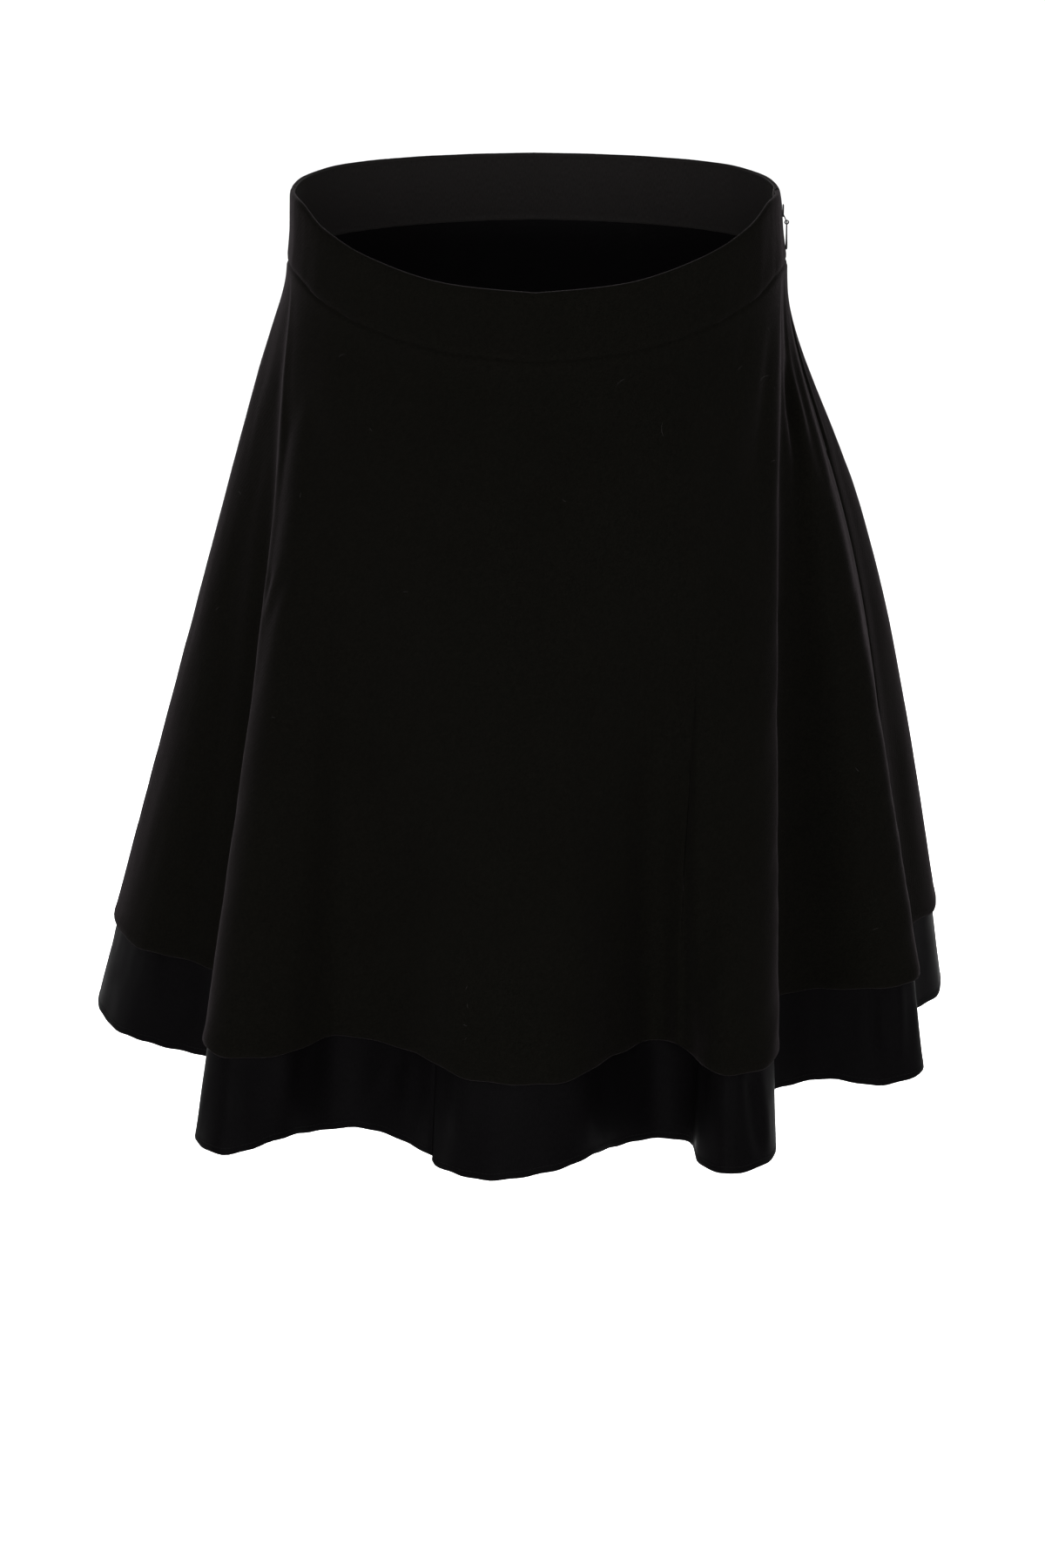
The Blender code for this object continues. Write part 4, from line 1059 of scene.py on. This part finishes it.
def zip_pull_tab(lacquer):
    """Slim teardrop tab with the ring that turns on the slider's pin."""
    base, out, up, along = zip_pivot()
    pivot = base + PIVOT_OUT * out
    sections = [
        (pivot - below * up, half_width * along, half_thick * out)
        for below, half_width, half_thick in TAB_SECTIONS
    ]
    parts = [lofted(sections, TAB_STEPS), pull_ring(pivot, out, up, along)]
    piece = joined("zip_pull_tab", parts, lacquer)
    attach(piece, "pull")
    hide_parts("zip_pull")


def zip_slider_body(lacquer):
    """Rounded slider with two arms down to the pin."""
    base, out, up, along = zip_pivot()
    pivot = base + PIVOT_OUT * out
    sections = []
    for height, width in SLIDER_SECTIONS:
        plumpness = SLIDER_PLUMP * (width / SLIDER_WIDEST) ** 0.5
        centre = base + (height - PIVOT_UP) * up + SLIDER_OUT * out
        sections.append((centre, width * along, plumpness * out))
    parts = [lofted(sections, SLIDER_STEPS)]
    for hand in (-1, 1):
        path = [base + rise * up + reach * out + hand * ARM_APART * along for rise, reach in ARM_PATH]
        parts.append(tube(path, ARM_WIRE, ARM_SIDES))
    pin = [pivot + k * PIN_HALF_LENGTH * along for k in (-1, -0.5, 0, 0.5, 1)]
    parts.append(tube(pin, PIN_WIRE, PIN_SIDES))
    piece = joined("zip_slider_body", parts, lacquer)
    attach(piece, "skirt")
    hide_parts("zip_slider")


def satin_stitches(name, outer, thread):
    """Machine stitches along the top of a satin panel's narrow hem."""
    down = column_lengths(outer)
    order = (down[-1:] - down)[::-1]
    lifted = (outer + STITCH_PROUD * grid_normals(outer))[::-1]
    line = np.array([
        [np.interp(SATIN_HEM_WIDTH, order[:, c], lifted[:, c, k]) for k in range(3)]
        for c in range(outer.shape[1])
    ])
    reach = lengths(line)
    parts = []
    for start in np.arange(STITCH_FROM, reach[-1] - STITCH_TO, STITCH_PITCH):
        at = start + STITCH_LENGTH * np.array(STITCH_POINTS)
        parts.append(tube(points_at(at, reach, line), STITCH_RADIUS * np.array(STITCH_TAPER), 4))
    piece = joined(name, parts, thread)
    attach(piece, "skirt")


def set_inputs(item, values):
    """Values of a node's unlinked sockets."""
    for socket, value in values.items():
        item.inputs[socket].default_value = value


def coordinates(tree, kind):
    """Texture coordinates of one kind."""
    return tree.nodes.new("ShaderNodeTexCoord").outputs[kind]


def noise(tree, vector, scale, detail, rough):
    """Noise read at a vector."""
    item = tree.nodes.new("ShaderNodeTexNoise")
    set_inputs(item, {"Scale": scale, "Detail": detail, "Roughness": rough})
    tree.links.new(vector, item.inputs["Vector"])
    return item.outputs["Fac"]


def coloured(tree, shader, factor, dark, light):
    """Colour of a shader between dark and light by a factor."""
    mix = tree.nodes.new("ShaderNodeMix")
    mix.data_type = "RGBA"
    set_inputs(mix, {"A": (*dark, 1.0), "B": (*light, 1.0)})
    tree.links.new(factor, mix.inputs["Factor"])
    tree.links.new(mix.outputs["Result"], shader.inputs["Base Color"])


def in_range(tree, value, low, high, to_low, to_high):
    """A value moved from one range to another."""
    item = tree.nodes.new("ShaderNodeMapRange")
    set_inputs(item, {"From Min": low, "From Max": high, "To Min": to_low, "To Max": to_high})
    tree.links.new(value, item.inputs["Value"])
    return item.outputs["Result"]


def rough_by(tree, shader, value, low, high):
    """Roughness that varies from low to high with a noise."""
    tree.links.new(in_range(tree, value, 0.3, 0.7, low, high), shader.inputs["Roughness"])


def mathed(tree, operation, first, second):
    """Two values joined by one sum."""
    item = tree.nodes.new("ShaderNodeMath")
    item.operation = operation
    for socket, value in ((item.inputs[0], first), (item.inputs[1], second)):
        if isinstance(value, (int, float)):
            socket.default_value = value
        else:
            tree.links.new(value, socket)
    return item.outputs[0]


def weighed(tree, total, *parts):
    """A value and others added to it, each times its weight."""
    for value, weight in parts:
        total = mathed(tree, "ADD", total, mathed(tree, "MULTIPLY", value, weight))
    return total


def bumped(tree, shader, height, strength, distance):
    """Bump of a shader's surface by a height."""
    item = tree.nodes.new("ShaderNodeBump")
    set_inputs(item, {"Strength": strength, "Distance": distance})
    tree.links.new(height, item.inputs["Height"])
    tree.links.new(item.outputs["Normal"], shader.inputs["Normal"])


def new_material(name):
    """Empty procedural material and its Principled shader."""
    material = bpy.data.materials.new(name)
    material.use_nodes = True
    tree = material.node_tree
    return material, tree, tree.nodes["Principled BSDF"]


def wool_material():
    """Matte black wool with a short nap: mottled tone, felted bump and a soft pinkish sheen."""
    material, tree, shader = new_material("black_wool")
    place = coordinates(tree, "Object")
    nap = noise(tree, place, *NAP)
    felt = noise(tree, place, *FELT)
    patch = noise(tree, place, *PATCH)
    twill = tree.nodes.new("ShaderNodeTexWave")
    twill.bands_direction = "DIAGONAL"
    set_inputs(twill, TWILL)
    tree.links.new(coordinates(tree, "UV"), twill.inputs["Vector"])
    tone = weighed(tree, mathed(tree, "MULTIPLY", nap, 0.75), (felt, 0.25))
    tone = in_range(tree, tone, 0.36, 0.64, 0.0, 1.0)
    tone = mathed(tree, "MULTIPLY", tone, in_range(tree, patch, 0.35, 0.65, 0.88, 1.0))
    coloured(tree, shader, tone, WOOL_DARK, WOOL_LIGHT)
    rough_by(tree, shader, felt, *WOOL_ROUGH)
    height = weighed(tree, nap, (felt, 0.6), (twill.outputs["Fac"], 0.18))
    bumped(tree, shader, height, *WOOL_BUMP)
    set_inputs(shader, {
        "Specular IOR Level": WOOL_SPECULAR,
        "Sheen Weight": WOOL_SHEEN,
        "Sheen Roughness": WOOL_SHEEN_ROUGH,
        "Sheen Tint": WOOL_SHEEN_TINT,
    })
    return material


def satin_material(name, dark, light):
    """Black satin: fine floats of the weave, soft broad gloss and a slightly uneven tone."""
    material, tree, shader = new_material(name)
    stretch = tree.nodes.new("ShaderNodeMapping")
    set_inputs(stretch, {"Scale": FLOATS_STRETCH})
    tree.links.new(coordinates(tree, "UV"), stretch.inputs["Vector"])
    floats = noise(tree, stretch.outputs["Vector"], *FLOATS)
    slub = noise(tree, coordinates(tree, "Object"), *SLUB)
    coloured(tree, shader, in_range(tree, floats, 0.3, 0.7, 0.0, 1.0), dark, light)
    rough_by(tree, shader, slub, *SATIN_ROUGH)
    bumped(tree, shader, weighed(tree, floats, (slub, 1.5)), *SATIN_BUMP)
    set_inputs(shader, {"Specular IOR Level": SATIN_SPECULAR})
    return material


def thread_material(name, dark, light):
    """Twisted thread."""
    material, tree, shader = new_material(name)
    twist = noise(tree, coordinates(tree, "Object"), *TWIST)
    coloured(tree, shader, twist, dark, light)
    bumped(tree, shader, twist, *THREAD_BUMP)
    set_inputs(shader, {"Roughness": THREAD_ROUGH, "Specular IOR Level": THREAD_SPECULAR})
    return material


def coil_material():
    """Black moulded coils with a faint gloss."""
    material, tree, shader = new_material("black_coil")
    grain = noise(tree, coordinates(tree, "Object"), *GRAIN)
    coloured(tree, shader, grain, COIL_DARK, COIL_LIGHT)
    rough_by(tree, shader, grain, *COIL_ROUGH)
    set_inputs(shader, {"Specular IOR Level": COIL_SPECULAR})
    return material


def lacquer_material():
    """Black lacquered metal, rubbed slightly brighter in scattered patches."""
    material, tree, shader = new_material("black_lacquer")
    wear = noise(tree, coordinates(tree, "Object"), *WEAR)
    rubbed = in_range(tree, wear, 0.58, 0.7, 0.0, 1.0)
    coloured(tree, shader, rubbed, LACQUER_DARK, LACQUER_WORN)
    rough_by(tree, shader, wear, *LACQUER_ROUGH)
    bumped(tree, shader, wear, *LACQUER_BUMP)
    set_inputs(shader, {"Specular IOR Level": LACQUER_SPECULAR})
    return material


def floor_material():
    """Plain pale floor."""
    material, _, shader = new_material("pale_floor")
    set_inputs(shader, {"Base Color": FLOOR_TONE, "Roughness": 0.9, "Specular IOR Level": 0.1})
    return material


def area_light(name, place, size, power):
    """Soft rectangular light aimed at the skirt's middle."""
    data = bpy.data.lights.new(name, "AREA")
    data.shape = "RECTANGLE"
    data.size, data.size_y = size
    data.energy = power
    item = bpy.data.objects.new(name, data)
    item.location = place
    direction = Vector(LIGHT_AIM) - Vector(place)
    item.rotation_euler = direction.to_track_quat("-Z", "Y").to_euler()
    bpy.context.scene.collection.objects.link(item)


def photo_camera():
    """Camera that sees the skirt as the photograph does."""
    scene = bpy.context.scene
    data = bpy.data.cameras.new("camera")
    data.lens = CAMERA_LENS
    data.sensor_width = CAMERA_SENSOR
    data.sensor_fit = "AUTO"
    data.clip_end = 200.0
    camera = bpy.data.objects.new("camera", data)
    camera.location = CAMERA_PLACE
    camera.rotation_euler = (math.radians(90.0 - CAMERA_PITCH_DOWN), 0.0, 0.0)
    scene.collection.objects.link(camera)
    scene.camera = camera
    scene.view_settings.view_transform = "Standard"


def white_world():
    """White surroundings, dimmer overhead."""
    world = bpy.data.worlds.new("studio_white")
    world.use_nodes = True
    tree = world.node_tree
    up = tree.nodes.new("ShaderNodeSeparateXYZ")
    tree.links.new(coordinates(tree, "Generated"), up.inputs["Vector"])
    strength = in_range(tree, up.outputs["Z"], WORLD_FROM, WORLD_TO, WORLD_LOW, WORLD_HIGH)
    tree.links.new(strength, tree.nodes["Background"].inputs["Strength"])
    tree.nodes["Background"].inputs["Color"].default_value = (1.0, 1.0, 1.0, 1.0)
    bpy.context.scene.world = world


def studio():
    """Camera, white surroundings, a pale floor and soft light from all round and above."""
    photo_camera()
    white_world()
    corners = [(-1, -1), (1, -1), (1, 1), (-1, 1)]
    mesh = bpy.data.meshes.new("floor")
    vertices = [(x * FLOOR_HALF, y * FLOOR_HALF, FLOOR_HEIGHT) for x, y in corners]
    mesh.from_pydata(vertices, [], [(0, 1, 2, 3)])
    mesh.materials.append(floor_material())
    floor = bpy.data.objects.new("floor", mesh)
    bpy.context.scene.collection.objects.link(floor)
    for softbox in SOFTBOXES:
        area_light(*softbox)
    high = bpy.data.lights.new("high_softlight", "SUN")
    high.energy = SUN_STRENGTH
    high.angle = math.radians(SUN_SPREAD)
    item = bpy.data.objects.new("high_softlight", high)
    item.rotation_euler = (math.radians(SUN_LEAN), 0.0, 0.0)
    bpy.context.scene.collection.objects.link(item)


def fibre(start, ahead, lift, length, curl):
    """Short curved fibre that lies on the cloth from a point along a direction."""
    bend = np.cross(ahead, lift)
    path = []
    for k in range(len(LINT_TAPER)):
        t = k / (len(LINT_TAPER) - 1)
        flat = start + length * t * ahead + curl * length * t * t * bend
        path.append(flat + lift * LINT_RADIUS * (1 + 4 * t * (1 - t)))
    return tube(path, LINT_RADIUS * np.array(LINT_TAPER), 4)


def lint(folds, material):
    """A few pale fibres caught on the nap, most of them on the front and by the zip."""
    parts = []
    for name, past, share, turn, length, curl in LINT:
        u = folds.place(name) + np.array([past, past + LINT_ASIDE]) * folds.period
        here, beside = folds.face(u, share)
        below = folds.face(u, share + LINT_BELOW)[0]
        side, down = unit(beside - here), unit(below - here)
        out = unit(np.cross(down, side))
        angle = math.radians(turn)
        ahead = math.cos(angle) * side - math.sin(angle) * down
        parts.append(fibre(here + LINT_PROUD * out, ahead, out, LINT_STRETCH * length, curl))
    piece = joined("lint_fibres", parts, material)
    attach(piece, "skirt")


def pale_threads(material):
    """Hand stitches that hold the facing beside the zip's top."""
    parts = []
    for deg, share, to_deg, to_share in HAND_STITCHES:
        path = []
        for t in (0.0, 0.25, 0.5, 0.75, 1.0):
            at = deg + (to_deg - deg) * t
            theta = np.radians([at, at + 0.5])
            height = share + (to_share - share) * t
            here, beside = band_plan(theta, height)
            below = band_plan(theta, height + 0.02)[0]
            out = unit(np.cross(unit(below - here), unit(beside - here)))
            rise = HAND_STITCH_RISE * math.sin(math.pi * t)
            path.append(here - (BAND_THICK + HAND_STITCH_PROUD + rise) * out)
        parts.append(tube(path, HAND_STITCH_RADIUS, 6))
    piece = joined("hand_stitches", parts, material)
    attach(piece, "skirt")


def main():
    """Build every piece on the frame."""
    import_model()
    studio()
    folds = Folds()
    wool = wool_material()
    satin = satin_material("black_satin", SATIN_DARK, SATIN_LIGHT)
    # The facing is the satin made lighter: painted light on the inside of the band.
    facing = satin_material("black_facing_painted_light", PAINTED_LIT_FACING_DARK, PAINTED_LIT_FACING_LIGHT)
    thread = thread_material("black_thread", THREAD_DARK, THREAD_LIGHT)
    coil = coil_material()
    lacquer = lacquer_material()
    for name, first, last, gaps, creases in (
        ("front_panel", "left_tip", "side_seam", (plain_gap, zip_gap), FRONT_CREASES),
        ("back_panel", "side_seam", "left_tip", (zip_gap, plain_gap), BACK_CREASES),
    ):
        piece = wool_panel(folds, name, first, last, gaps, creases, [wool])
    for name, first, last, creases, above, drop in (
        ("underskirt_front_left", "left_tip", "satin_lap", LEFT_SATIN_CREASES, FRONT_CREASES, 0.0),
        ("underskirt_front_right", "satin_lap", "side_seam", RIGHT_SATIN_CREASES, FRONT_CREASES, LAP_DROP),
        ("underskirt_back", "side_seam", "left_tip", BACK_SATIN_CREASES, BACK_CREASES, 0.0),
    ):
        piece, outer = satin_panel(folds, name, first, last, creases, above, [satin], drop)
        satin_stitches(name + "_stitches", outer, thread)
    for name, start, end, start_gap, end_gap in (
        ("waistband_front", -93.0, 90.0, SEWN_GAP, ZIP_SLOT),
        ("waistband_back", 90.0, 267.0, ZIP_SLOT, SEWN_GAP),
    ):
        piece = waistband(name, start, end, start_gap, end_gap, [wool, facing])
    pale = thread_material("pale_thread", PALE_DARK, PALE_LIGHT)
    lint(folds, thread_material("lint_thread", LINT_DARK, LINT_LIGHT))
    pale_threads(pale)
    zip_coils(folds, coil, thread)
    zip_pull_tab(lacquer)
    zip_slider_body(lacquer)


main()
